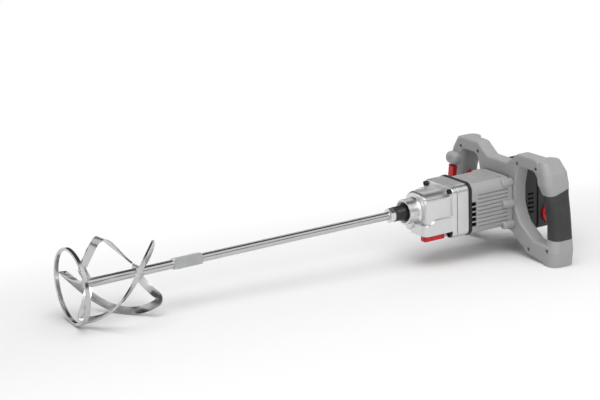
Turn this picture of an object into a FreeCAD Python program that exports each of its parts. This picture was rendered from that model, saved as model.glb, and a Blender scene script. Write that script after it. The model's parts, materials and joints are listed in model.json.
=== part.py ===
import FreeCAD, Part
import math
import os
import Sketcher
from FreeCAD import Placement, Rotation, Vector

# Mixing drill lying on its side of use: spindle axis along X, stirrer towards -X, handles towards +X, +Z up.
# The origin is on the spindle axis in the front face of the clamping collar. All sizes are in millimetres.

doc = FreeCAD.newDocument("mixing_drill")
sheet = doc.addObject("Spreadsheet::Sheet", "Sizes")

SIZES = (
    # stirrer
    ("hoop_radius", 60.0, "outside radius of the hoop and of the bands' corners"),
    ("hoop_wide", 7.0, "hoop bar along the axis"),
    ("hoop_thick", 4.0, "hoop bar across"),
    ("stirrer_reach", 606.0, "collar face to the front of the hoop"),
    ("band_count", 3, "helical bands"),
    ("band_wide", 12.0, "band bar across"),
    ("band_thick", 3.0, "band bar thickness"),
    ("band_turn", 150.0, "degrees from a band's rear corner to its front corner"),
    ("band_length", 133.0, "axial length between a band's corners"),
    ("band_lead", 28.0, "degrees by which an arm's foot leads its corner"),
    ("band_corner", 8.0, "bend radius at a band's corners"),
    ("band_bulge", 8.0, "bands beyond the hoop's radius, half way along"),
    ("band_tilt", 50.0, "degrees by which a band's flat leans to the rod, from half way to the hoop"),
    ("band_overrun", 3.0, "bands' front corners past the hoop's rear face"),
    ("band_first", 16.5, "degrees from the top to the first band's rear corner"),
    ("rod_radius", 7.0, "stirrer rods"),
    ("stub_radius", 5.0, "turned ends of the rods in the coupling"),
    ("stub_length", 18.0, "depth of those ends"),
    ("coupling_side", 17.0, "square coupling across its flats"),
    ("coupling_length", 51.0, "coupling along the axis"),
    ("coupling_tilt", 14.0, "degrees the square is turned about the axis"),
    ("coupling_reach", 384.0, "collar face to the rear of the coupling"),
    ("nut_across", 22.0, "lock nut across its flats"),
    ("nut_wide", 10.0, "lock nut along the axis"),
    ("thread_radius", 6.2, "threaded end of the upper rod"),
    ("thread_depth", 20.0, "thread held in the spindle"),
    # spindle and its bearings
    ("nose_radius", 12.5, "spindle nose"),
    ("nose_reach", 21.0, "spindle nose ahead of the collar face"),
    ("collar_radius", 21.5, "clamping collar"),
    ("collar_length", 22.0, "clamping collar along the axis"),
    ("collar_clamp", 9.0, "clamping length of the collar"),
    ("collar_relief", 0.5, "collar smaller behind that length"),
    ("collar_flare", 3.0, "flare where the collar meets the housing"),
    ("lug_radius", 9.0, "lug below the collar"),
    ("lug_drop", 22.0, "lug's axis below the spindle"),
    ("lug_reach", 12.0, "lug ahead of the housing"),
    ("seal_lip", 3.0, "collar face to the seal"),
    ("seal_wide", 7.0, "oil seal along the axis"),
    ("seal_wall", 5.8, "oil seal across"),
    ("front_bearing_bore", 8.5, "front spindle bearing, inner radius"),
    ("front_bearing_wall", 9.0, "front spindle bearing across"),
    ("front_bearing_wide", 10.0, "front spindle bearing along the axis"),
    ("spindle_radius", 8.0, "spindle under the gears"),
    ("rear_bearing_bore", 6.0, "rear spindle bearing, inner radius"),
    ("rear_bearing_wall", 7.0, "rear spindle bearing across"),
    # gears
    ("gear_module", 1.25, "module of the low and high pairs"),
    ("low_pinion_teeth", 11, "teeth on the low pinion"),
    ("low_gear_teeth", 41, "teeth on the low gear"),
    ("high_pinion_teeth", 18, "teeth on the high pinion"),
    ("wheel_module", 0.8, "module of the first pair"),
    ("drive_pinion_teeth", 10, "teeth on the armature's pinion"),
    ("wheel_teeth", 40, "teeth on the intermediate wheel"),
    ("tooth_height", 0.85, "tooth above the pitch line, in modules"),
    ("tooth_shift", 0.35, "profile shift of the pinions"),
    ("tooth_slack", 0.22, "backlash at the pitch line"),
    ("gear_wide", 8.0, "low and high gears along the axis"),
    ("wheel_wide", 6.0, "intermediate wheel along the axis"),
    ("layshaft_radius", 5.0, "intermediate shaft"),
    ("layshaft_seat", 4.0, "intermediate shaft in its bearings"),
    ("layshaft_bearing_wall", 4.0, "intermediate bearings across"),
    ("layshaft_bearing_wide", 5.0, "intermediate bearings along the axis"),
    ("sleeve_radius", 15.0, "shift sleeve"),
    ("sleeve_wide", 9.0, "shift sleeve along the axis"),
    ("groove_depth", 3.0, "fork groove in the sleeve"),
    ("groove_wide", 4.0, "fork groove along the axis"),
    ("dog_radius", 2.2, "dog pins on the sleeve"),
    ("dog_ring", 12.0, "circle of the dog pins"),
    ("dog_reach", 3.0, "dog pins into the low gear"),
    ("shift_travel", 5.0, "travel of the shift sleeve"),
    ("shift_turn", 60.0, "degrees the selector turns"),
    ("fork_rod_radius", 3.0, "guide rod of the fork"),
    ("fork_rod_side", 23.5, "guide rod beside the spindle, towards -Y"),
    ("fork_rod_drop", 19.0, "guide rod below the spindle"),
    ("fork_boss", 3.0, "wall of the fork's boss round its rod"),
    ("fork_pin_radius", 2.0, "eccentric pin on the selector shaft"),
    ("carrier_wide", 8.0, "bearing carrier along the axis"),
    # gearbox case
    ("case_wall", 3.6, "gear housing wall"),
    ("case_gap", 1.8, "gear teeth to the housing"),
    ("case_floor", 4.0, "gear housing wall below the high pinion"),
    ("case_front", 3.0, "gear housing round the screw channels"),
    ("case_lift", 6.0, "gear housing's floor higher on the selector's side"),
    ("sump_x", 28.0, "front of the housing's full section behind the collar"),
    ("sump_side", 4.0, "lower part of the housing beside the spindle, towards +Y"),
    ("shelf_up", 23.0, "top of the housing's side panels above the spindle"),
    ("shelf_out", 0.6, "side panels out of the housing's walls"),
    ("front_wall", 8.0, "gear housing front wall, which holds two bearings"),
    ("case_round_front", 5.5, "rounding of the housing's front edges"),
    ("case_round_top", 26.0, "corner radius at the top of the housing"),
    ("case_round_low", 11.0, "corner radius at the bottom of the housing"),
    ("flange_wide", 10.0, "flange of the gear housing"),
    ("parting_wide", 1.2, "groove between flange and rear plate"),
    ("parting_deep", 1.5, "depth of that groove"),
    ("plate_length", 23.5, "rear plate along the axis"),
    ("plate_half", 41.5, "rear plate, half width"),
    ("plate_up", 38.0, "rear plate above the spindle axis"),
    ("plate_down", 53.0, "rear plate below the spindle axis"),
    ("plate_round", 13.0, "corner radius of the rear plate"),
    ("case_screw_side", 33.5, "gearbox screws beside the spindle"),
    ("case_screw_up", 30.0, "upper gearbox screws above the spindle"),
    ("case_screw_down", 45.5, "lower gearbox screws below the spindle"),
    ("screw_head", 4.5, "radius of the gearbox and motor screw heads"),
    ("screw_shank", 2.5, "radius of the gearbox and motor screws"),
    ("screw_head_wide", 4.0, "screw heads along the axis"),
    ("boss_ahead", 32.0, "selector boss ahead of the selector axis"),
    ("boss_behind", 26.0, "selector boss behind the selector axis"),
    ("boss_side", 17.5, "selector axis beside the spindle, towards -Y"),
    ("boss_top", 19.5, "front of the selector boss's top below the spindle"),
    ("boss_out", 4.5, "selector boss out of the housing's wall"),
    ("boss_rise", 7.0, "rise of the boss's top towards the rear"),
    ("lever_length", 43.2, "selector lever"),
    ("lever_wide", 15.0, "selector lever across"),
    ("lever_high", 14.0, "selector lever height"),
    ("selector_shaft", 6.0, "radius of the selector shaft"),
    # motor
    ("motor_drop", 18.0, "armature axis below the spindle axis"),
    ("guide_wide", 5.5, "air guide's visible edge"),
    ("guide_sleeve", 10.0, "air guide's inner sleeve along the axis"),
    ("guide_wall", 2.0, "air guide's wall"),
    ("motor_length", 83.0, "motor housing along the axis"),
    ("motor_half", 43.5, "motor housing, half width"),
    ("motor_up", 34.0, "motor housing above the spindle axis"),
    ("motor_down", 54.0, "motor housing below the spindle axis"),
    ("motor_round", 17.0, "corner radius of the motor housing"),
    ("motor_wall", 3.0, "motor housing wall"),
    ("rib_count", 9, "ribs on each side of the motor housing"),
    ("rib_wide", 5.0, "rib across"),
    ("rib_deep", 2.0, "rib height"),
    ("rib_length", 66.0, "rib along the axis"),
    ("top_rib_count", 6, "ribs on top of the motor housing"),
    ("top_rib_deep", 1.0, "top rib height"),
    ("panel_up", 22.0, "ribbed panel above the spindle axis"),
    ("panel_down", 40.0, "ribbed panel below the spindle axis"),
    ("vent_count", 5, "exhaust slots on each side"),
    ("vent_high", 7.2, "exhaust slot height"),
    ("vent_pitch", 9.0, "exhaust slots apart"),
    ("vent_long", 9.0, "exhaust slot along the axis"),
    ("vent_drop", 16.0, "middle of the exhaust slots below the spindle axis"),
    ("motor_boss", 7.5, "radius of the motor screw bosses"),
    ("motor_boss_long", 19.0, "motor screw bosses along the axis"),
    ("damper_wide", 4.0, "damping ring along the axis"),
    ("bead_out", 0.8, "bead at the motor housing's rear edge"),
    ("bead_wide", 7.0, "that bead along the axis"),
    ("shaft_radius", 4.0, "armature shaft in its bearings"),
    ("shaft_body", 6.0, "armature shaft under the core"),
    ("pinion_seat", 2.3, "armature shaft under the pinion"),
    ("motor_bearing_wall", 7.0, "armature bearings across"),
    ("motor_bearing_wide", 7.0, "armature bearings along the axis"),
    ("core_radius", 22.0, "armature core"),
    ("core_length", 56.0, "armature core along the axis"),
    ("winding_radius", 19.0, "armature winding heads"),
    ("winding_length", 8.0, "armature winding heads along the axis"),
    ("air_gap", 0.6, "armature core to stator"),
    ("stator_wall", 9.4, "stator core across"),
    ("coil_thick", 6.0, "field coils across"),
    ("coil_head", 8.0, "field coil heads along the axis"),
    ("commutator_radius", 13.0, "commutator"),
    ("commutator_length", 17.0, "commutator along the axis"),
    ("fan_radius", 29.0, "fan"),
    ("fan_wide", 9.0, "fan along the axis"),
    ("fan_blades", 12, "fan blades"),
    ("brush_side", 8.0, "carbon brush across"),
    ("brush_long", 14.0, "carbon brush"),
    ("holder_wall", 2.0, "brush holder wall"),
    # handle frame
    ("frame_deep", 26.0, "frame arms along the axis"),
    ("frame_front", 20.0, "front shell along the axis"),
    ("frame_round", 4.0, "rounding of the frame's edges"),
    ("waist_half", 48.0, "frame waist, half width"),
    ("waist_up", 58.0, "frame waist above the spindle axis"),
    ("waist_down", 63.0, "frame waist below the spindle axis"),
    ("arm_up", 78.0, "upper arms above the spindle axis"),
    ("arm_in", 54.0, "upper arms' inner corner beside the spindle axis"),
    ("arm_out", 107.0, "upper arms' outer corner beside the spindle axis"),
    ("arm_high", 22.0, "upper arms across"),
    ("foot_down", 102.0, "frame's feet below the spindle axis"),
    ("leg_thick", 28.0, "lower arms across"),
    ("bore_wall", 10.0, "waist between the motor bore and the windows"),
    ("grip_side", 127.0, "grip axis beside the spindle axis, at its height"),
    ("grip_lean", 9.0, "degrees the grips lean outwards at the bottom"),
    ("grip_half", 16.5, "grip, half width"),
    ("grip_deep", 48.0, "grip along the spindle axis"),
    ("grip_round", 13.0, "corner radius of the grips"),
    ("near_waist", 8.0, "hollow in the front of the near grip"),
    ("sleeve_thick", 2.5, "rubber sleeves"),
    ("sleeve_low", 57.0, "bottom of the rubber sleeves below the spindle axis"),
    ("sleeve_top_near", 17.0, "front top of the near sleeve above the spindle axis"),
    ("sleeve_top_far", 24.0, "front top of the far sleeve below the spindle axis"),
    ("sleeve_slope", 15.0, "degrees the sleeves' top edges rise to the rear"),
    ("guard_reach", 12.0, "finger guard ahead of the frame"),
    ("guard_half", 15.0, "finger guard, half width"),
    ("guard_high", 22.0, "finger guard height"),
    ("guard_up", 36.0, "finger guard above the spindle axis"),
    ("frame_screw", 3.4, "radius of the frame screws' heads"),
    ("frame_screw_shank", 1.8, "radius of the frame screws"),
    ("frame_screw_long", 20.0, "frame screws"),
    ("frame_screw_sunk", 7.0, "depth of the frame screws' heads"),
    # trigger, lock button and inlet
    ("trigger_half", 7.5, "trigger, half width"),
    ("trigger_up", 22.0, "top of the trigger along the grip"),
    ("trigger_down", 20.0, "bottom of the trigger along the grip"),
    ("trigger_reach", 7.0, "trigger ahead of the frame"),
    ("trigger_deep", 14.0, "trigger front to back"),
    ("trigger_travel", 6.0, "trigger travel"),
    ("plunger_radius", 2.5, "trigger plunger"),
    ("plunger_hold", 4.0, "plunger in the switch at rest"),
    ("switch_long", 20.0, "switch block along the axis"),
    ("switch_gap", 2.5, "trigger to the switch block at the end of its travel"),
    ("button_radius", 6.5, "lock button"),
    ("button_reach", 4.0, "lock button out of the grip's wall"),
    ("button_travel", 2.0, "lock button travel"),
    ("button_back", 24.0, "lock button behind the frame's front"),
    ("button_up", 8.0, "lock button along the grip"),
    ("inlet_radius", 9.0, "cord inlet bush"),
    ("inlet_bore", 4.2, "bore of the inlet bush"),
    ("inlet_hold", 7.0, "length of that bore, at the bush's rear end"),
    ("inlet_room", 5.2, "wider bore ahead of it"),
    ("inlet_seat", 10.0, "bush inside the far foot"),
    ("inlet_reach", 8.0, "inlet bush behind the far foot"),
    # rear housing, cap and dial
    ("rear_half", 45.0, "rear housing, half width"),
    ("rear_up", 46.0, "rear housing above the spindle axis"),
    ("rear_down", 71.0, "rear housing below the spindle axis"),
    ("rear_round", 15.0, "corner radius of the rear housing"),
    ("rear_wall", 3.0, "rear housing and cap walls"),
    ("rear_length", 26.0, "rear housing along the axis"),
    ("rear_back", 12.0, "rear housing's back wall"),
    ("intake_count", 5, "intake slots on each side"),
    ("intake_high", 3.6, "intake slot height"),
    ("intake_pitch", 8.2, "intake slots apart"),
    ("intake_long", 12.0, "intake slot along the axis"),
    ("intake_drop", 18.0, "middle of the intake slots below the spindle axis"),
    ("cap_length", 50.0, "rear cap along the axis"),
    ("cap_groove", 3.0, "groove between rear housing and cap, along the axis"),
    ("cap_step", 3.0, "depth of that groove"),
    ("cap_round", 12.0, "rounding of the cap's end"),
    ("cap_screw", 2.5, "radius of the cap screws"),
    ("dial_radius", 18.0, "dial"),
    ("dial_reach", 4.0, "dial out of the cap's side"),
    ("dial_back", 28.0, "dial axis behind the cap's front"),
    ("dial_drop", 42.0, "dial axis below the spindle axis"),
    ("dial_shaft", 4.0, "radius of the dial's shaft"),
    ("module_long", 29.0, "control module along the axis"),
    # clearances
    ("fit_gap", 0.05, "between pieces that fit into each other"),
    ("run_gap", 0.05, "running fit of shafts and sleeves"),
    ("free_gap", 0.5, "between a moving piece and its neighbours"),
    ("face_gap", 1.0, "between moving faces along the axis"),
)


class Size:
    """A number of the sheet, or a sum worked out from some, with the sheet formula that gives it."""

    def __init__(self, text, value):
        self.text = text
        self.value = value

    def join(self, other, sign, result):
        other = sized(other)
        return Size("(%s %s %s)" % (self.text, sign, other.text), result(self.value, other.value))

    def __add__(self, other):
        return self.join(other, "+", lambda a, b: a + b)

    def __sub__(self, other):
        return self.join(other, "-", lambda a, b: a - b)

    def __mul__(self, other):
        return self.join(other, "*", lambda a, b: a * b)

    def __truediv__(self, other):
        return self.join(other, "/", lambda a, b: a / b)

    def __neg__(self):
        return Size("(0 - %s)" % self.text, -self.value)

    __radd__ = __add__
    __rmul__ = __mul__

    def __rsub__(self, other):
        return sized(other) - self


def sized(number):
    """The given Size, or a plain number as one."""
    return number if isinstance(number, Size) else Size(repr(float(number)), float(number))


def root(square):
    """Square root of a Size."""
    return Size("sqrt(%s)" % square.text, math.sqrt(square.value))


class Names:
    """Holds each named size of the sheet as an attribute."""


s = Names()
for row, (name, value, meaning) in enumerate(SIZES, start=1):
    sheet.set("A%d" % row, name)
    sheet.set("B%d" % row, str(value))
    sheet.setAlias("B%d" % row, name)
    sheet.set("C%d" % row, meaning)
doc.recompute()
for name, value, meaning in SIZES:
    setattr(s, name, Size("Sizes." + name, float(sheet.get(name))))

nodes = []
ALONG_X = Rotation(Vector(0, 1, 0), 90)
DOWN = Vector(0, 0, -1)


# Building blocks

def keep(thing, label):
    """Mark a finished sub-part for export under its label."""
    thing.Label = label
    nodes.append(thing)
    return thing


def bind(thing, **formulas):
    """Bind properties to sheet formulas; double underscores in a name stand for dots."""
    for name, formula in formulas.items():
        thing.setExpression(name.replace("__", "."), sized(formula).text)
    return thing


def place(thing, x=0, y=0, z=0):
    """Bind an object's place to sheet formulas."""
    return bind(thing, Placement__Base__x=x, Placement__Base__y=y, Placement__Base__z=z)


def cylinder(name, radius, length, x=0, y=0, z=0, turn=ALONG_X):
    """A cylinder from x along X, or along the Z axis of another turn."""
    thing = doc.addObject("Part::Cylinder", name)
    thing.Placement = Placement(Vector(), turn)
    bind(thing, Radius=radius, Height=length)
    return place(thing, x, y, z)


def box(name, x, y, z, long, wide, high):
    """A box from its lowest corner."""
    thing = doc.addObject("Part::Box", name)
    bind(thing, Length=long, Width=wide, Height=high)
    return place(thing, x, y, z)


def cut(name, base, *tools):
    """The base less the tools."""
    tool = tools[0] if len(tools) == 1 else fuse(name + "_tools", *tools)
    thing = doc.addObject("Part::Cut", name)
    thing.Base = base
    thing.Tool = tool
    return thing


def fuse(name, *things):
    """The union of the things."""
    thing = doc.addObject("Part::MultiFuse", name)
    thing.Shapes = list(things)
    return thing


def made(name, shape):
    """An object whose shape is worked out in code from the sheet's sizes."""
    thing = doc.addObject("Part::Feature", name)
    thing.Shape = shape
    return thing


def turned(name, corners, x=0, y=0, z=0):
    """A body turned about X from (along, radius) corners, with along measured from x."""
    body = doc.addObject("PartDesign::Body", name)
    plane = [f for f in body.Origin.OriginFeatures if f.Role == "XZ_Plane"][0]
    sketch = body.newObject("Sketcher::SketchObject", name + "_profile")
    sketch.AttachmentSupport = [(plane, "")]
    sketch.MapMode = "FlatFace"
    spots = [(sized(a), sized(r)) for a, r in corners]
    count = len(spots)
    for i in range(count):
        start, end = spots[i], spots[(i + 1) % count]
        sketch.addGeometry(Part.LineSegment(Vector(start[0].value, start[1].value, 0),
                                            Vector(end[0].value, end[1].value, 0)))
    for i in range(count):
        sketch.addConstraint(Sketcher.Constraint("Coincident", i, 2, (i + 1) % count, 1))
    for i, (along, radius) in enumerate(spots):
        for kind, axis, size in (("DistanceX", -2, along), ("DistanceY", -1, radius)):
            if size.value == 0:
                sketch.addConstraint(Sketcher.Constraint("PointOnObject", i, 1, axis))
            else:
                index = sketch.addConstraint(Sketcher.Constraint(kind, -1, 1, i, 1, size.value))
                sketch.setExpression("Constraints[%d]" % index, size.text)
    turn = body.newObject("PartDesign::Revolution", name + "_turn")
    turn.Profile = sketch
    turn.ReferenceAxis = (sketch, ["H_Axis"])
    turn.Angle = 360
    return place(body, x, y, z)


def ring(name, inner, outer, length, x=0, y=0, z=0):
    """A turned ring of rectangular section."""
    return turned(name, ((0, inner), (length, inner), (length, outer), (0, outer)), x, y, z)


def rounded(corners, x):
    """A closed wire at x through (y, z, radius) corners, each rounded by an arc."""
    edges = []
    count = len(corners)
    ends = []
    for i in range(count):
        here = Vector(x, corners[i][0], corners[i][1])
        before = Vector(x, *corners[i - 1][:2]) - here
        after = Vector(x, *corners[(i + 1) % count][:2]) - here
        before.normalize()
        after.normalize()
        half = before.getAngle(after) / 2
        reach = corners[i][2] / math.tan(half)
        middle = before + after
        middle.normalize()
        depth = corners[i][2] / math.sin(half) - corners[i][2]
        ends.append((here + before * reach, here + middle * depth, here + after * reach))
    for i in range(count):
        enter, top, leave = ends[i]
        if corners[i][2] > 0:
            edges.append(Part.Arc(enter, top, leave).toShape())
        edges.append(Part.LineSegment(leave, ends[(i + 1) % count][0]).toShape())
    return Part.Wire(edges)


def slab(corners, x_from, x_to):
    """A solid between two x with rounded (y, z, radius) corners."""
    return Part.Face(rounded(corners, x_from)).extrude(Vector(x_to - x_from, 0, 0))


def frame_box(half, up, down, radius, inset=0.0):
    """Corners of a rounded rectangle about the spindle axis, drawn in by an inset."""
    soft = max(radius - inset, 1.0)
    side, top, low = half - inset, up - inset, down - inset
    return ((side, top, soft), (side, -low, soft), (-side, -low, soft), (-side, top, soft))


def drum(radius, x_from, x_to, y=0.0, z=0.0):
    """A cylinder along X between two x, for cuts in worked-out shapes."""
    return Part.makeCylinder(radius, x_to - x_from, Vector(x_from, y, z), Vector(1, 0, 0))


def mirrored(shape):
    """The shape on the other side of the middle plane."""
    return shape.mirror(Vector(0, 0, 0), Vector(0, 1, 0))


def edges_at(shape, x):
    """Edges of a shape that lie in the plane at x."""
    return [e for e in shape.Edges if all(abs(v.X - x) < 1e-4 for v in e.Vertexes)
            and abs(e.BoundBox.XMax - x) < 1e-4 and abs(e.BoundBox.XMin - x) < 1e-4]


def involute(angle):
    """The involute function of a pressure angle."""
    return math.tan(angle) - angle


def gear(teeth, module, shift, wide, bore, first):
    """A spur gear along X from the origin, with one tooth centred on the angle first, from +Y to +Z."""
    teeth = int(round(teeth))
    pressure = math.radians(20)
    pitch = module * teeth / 2
    base = pitch * math.cos(pressure)
    tip = pitch + module * (s.tooth_height.value + shift)
    foot = pitch - module * (1.25 - shift)
    lean = (math.pi / 2 + 2 * shift * math.tan(pressure)) / teeth - s.tooth_slack.value / 2 / pitch
    lean += involute(pressure)

    def spot(radius, angle):
        return Vector(0, radius * math.cos(angle), radius * math.sin(angle))

    steps = 5
    start = max(base, foot)
    flank = []
    for i in range(steps + 1):
        radius = start + (tip - start) * i / steps
        flank.append((radius, lean - involute(math.acos(min(1.0, base / radius)))))
    edges = []
    for tooth in range(teeth):
        middle = first + 2 * math.pi * tooth / teeth
        up = [spot(r, middle - a) for r, a in flank]
        down = [spot(r, middle + a) for r, a in reversed(flank)]
        root_in, root_out = spot(foot, middle - flank[0][1]), spot(foot, middle + flank[0][1])
        if foot < base:
            edges.append(Part.LineSegment(root_in, up[0]).toShape())
        for points in (up, down):
            curve = Part.BSplineCurve()
            curve.interpolate(points)
            edges.append(curve.toShape())
            if points is up:
                edges.append(Part.Arc(up[-1], spot(tip, middle), down[0]).toShape())
        if foot < base:
            edges.append(Part.LineSegment(down[-1], root_out).toShape())
        gap = middle + math.pi / teeth
        after = spot(foot, middle + 2 * math.pi / teeth - flank[0][1])
        edges.append(Part.Arc(root_out, spot(foot, gap), after).toShape())
    blank = Part.Face(Part.Wire(edges)).extrude(Vector(wide, 0, 0))
    return blank.cut(drum(bore, -1, wide + 1))


# Stations along the axis, from the front

seal_end = s.seal_lip + s.seal_wide
front_bearing_x = seal_end + 4 * s.face_gap
front_bearing_end = front_bearing_x + s.front_bearing_wide
cavity_x = s.collar_length + s.front_wall
low_x = cavity_x + 1.5 * s.face_gap
sleeve_x = low_x + s.gear_wide + s.face_gap
high_x = sleeve_x + s.sleeve_wide + s.shift_travel + s.face_gap
carrier_x = high_x + s.gear_wide + 1.5 * s.face_gap
wheel_x = carrier_x + s.carrier_wide + 2 * s.face_gap
plate_x = wheel_x + s.wheel_wide + 2 * s.face_gap
plate_end = plate_x + s.plate_length
motor_x = plate_end + s.guide_wide
motor_end = motor_x + s.motor_length
frame_x = motor_end + s.damper_wide
frame_end = frame_x + s.frame_deep
rear_end = frame_end + s.rear_length
cap_end = rear_end + s.cap_length

# Gear geometry

low_distance = s.gear_module * (s.low_pinion_teeth + s.low_gear_teeth) / 2
wheel_distance = s.wheel_module * (s.drive_pinion_teeth + s.wheel_teeth) / 2
lay_z = (wheel_distance * wheel_distance - low_distance * low_distance - s.motor_drop * s.motor_drop)
lay_z = lay_z / (2 * s.motor_drop)
lay_y = root(low_distance * low_distance - lay_z * lay_z)
high_gear_teeth = s.low_pinion_teeth + s.low_gear_teeth - s.high_pinion_teeth
low_tip = s.gear_module * (s.low_gear_teeth / 2 + s.tooth_height - s.tooth_shift)
low_pinion_tip = s.gear_module * (s.low_pinion_teeth / 2 + s.tooth_height + s.tooth_shift)
high_pinion_tip = s.gear_module * (s.high_pinion_teeth / 2 + s.tooth_height + s.tooth_shift)
wheel_tip = s.wheel_module * (s.wheel_teeth / 2 + s.tooth_height - s.tooth_shift)
drive_tip = s.wheel_module * (s.drive_pinion_teeth / 2 + s.tooth_height + s.tooth_shift)
to_lay = math.atan2(lay_z.value, lay_y.value)
from_lay = to_lay + math.pi
lay_to_motor = math.atan2(-s.motor_drop.value - lay_z.value, -lay_y.value)
motor_to_lay = lay_to_motor + math.pi

case_half = lay_y + high_pinion_tip + s.case_gap + s.case_wall
case_up = low_tip + s.case_gap + s.case_wall
case_down = high_pinion_tip + s.free_gap + s.case_floor - lay_z
boss_down = case_down - s.case_lift
seal_outer = s.nose_radius + s.run_gap + s.seal_wall
front_bearing_outer = s.front_bearing_bore + s.front_bearing_wall
rear_bearing_outer = s.rear_bearing_bore + s.rear_bearing_wall
lay_bearing_outer = s.layshaft_seat + s.layshaft_bearing_wall
lay_front_x = low_x - 2 * s.face_gap - s.layshaft_bearing_wide
lay_rear_x = plate_x + 3 * s.face_gap
motor_bearing_x = plate_end - s.motor_bearing_wide - 5 * s.face_gap
motor_bearing_outer = s.shaft_radius + s.motor_bearing_wall


# Stirrer

def stirrer_rods():
    """The two rods, their square coupling and the lock nut, all turning with the spindle."""
    front = s.stirrer_reach - s.hoop_wide
    shaft_front = front + s.band_overrun - s.band_length * s.band_lead / s.band_turn + s.band_wide * 0.6
    coupling_front = s.coupling_reach + s.coupling_length
    lower = shaft_front - coupling_front
    keep(turned("lower_rod", ((0, 0), (lower + s.stub_length, 0), (lower + s.stub_length, s.stub_radius),
                              (lower, s.stub_radius), (lower, s.rod_radius), (1, s.rod_radius),
                              (0, s.rod_radius - 1)), -shaft_front), "lower_rod")
    upper = s.coupling_reach - s.nose_reach - s.nut_wide
    end = upper + s.nut_wide + s.thread_depth
    keep(turned("upper_rod", ((0, 0), (end + s.stub_length, 0), (end + s.stub_length, s.thread_radius),
                              (upper + s.stub_length, s.thread_radius), (upper + s.stub_length,
                                                                         s.rod_radius),
                              (s.stub_length, s.rod_radius), (s.stub_length, s.stub_radius),
                              (0, s.stub_radius)), -s.coupling_reach - s.stub_length), "upper_rod")

    bar = doc.addObject("Part::Prism", "coupling_bar")
    bar.Polygon = 4
    bar.Placement = Placement(Vector(), ALONG_X.multiply(Rotation(Vector(0, 0, 1),
                                                                  45 - s.coupling_tilt.value)))
    bind(bar, Circumradius=s.coupling_side / math.sqrt(2), Height=s.coupling_length)
    place(bar, -coupling_front)
    full = s.coupling_side / math.sqrt(2)
    inner = s.coupling_side / 2
    ends = turned("coupling_ends", ((0, 0), (s.coupling_length, 0), (s.coupling_length, inner),
                                    (s.coupling_length - (full - inner), full), (full - inner, full),
                                    (0, inner)), -coupling_front)
    chamfered = doc.addObject("Part::Common", "coupling_chamfered")
    chamfered.Base = bar
    chamfered.Tool = ends
    hold = s.stub_radius + s.fit_gap
    bores = [cylinder("coupling_bore_front", hold, s.stub_length + s.fit_gap, -coupling_front),
             cylinder("coupling_bore_rear", hold, s.stub_length + s.fit_gap,
                      -s.coupling_reach - s.stub_length - s.fit_gap)]
    keep(cut("coupling", chamfered, *bores), "coupling")

    nut = doc.addObject("Part::Prism", "nut_bar")
    nut.Polygon = 6
    nut.Placement = Placement(Vector(), ALONG_X)
    bind(nut, Circumradius=s.nut_across / math.sqrt(3), Height=s.nut_wide)
    place(nut, -s.nose_reach - s.nut_wide)
    keep(cut("lock_nut", nut, cylinder("nut_bore", s.thread_radius + s.fit_gap, s.nut_wide + 2,
                                       -s.nose_reach - s.nut_wide - 1)), "lock_nut")
    hoop_inner = s.hoop_radius - s.hoop_thick
    soft = s.hoop_thick / 5
    hoop_corners = ((0, hoop_inner + soft), (soft, hoop_inner), (s.hoop_wide - soft, hoop_inner),
                    (s.hoop_wide, hoop_inner + soft), (s.hoop_wide, s.hoop_radius - soft),
                    (s.hoop_wide - soft, s.hoop_radius), (soft, s.hoop_radius), (0, s.hoop_radius - soft))
    hoop = turned("hoop", hoop_corners, -s.stirrer_reach)
    keep(hoop, "hoop")
    return hoop


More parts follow.
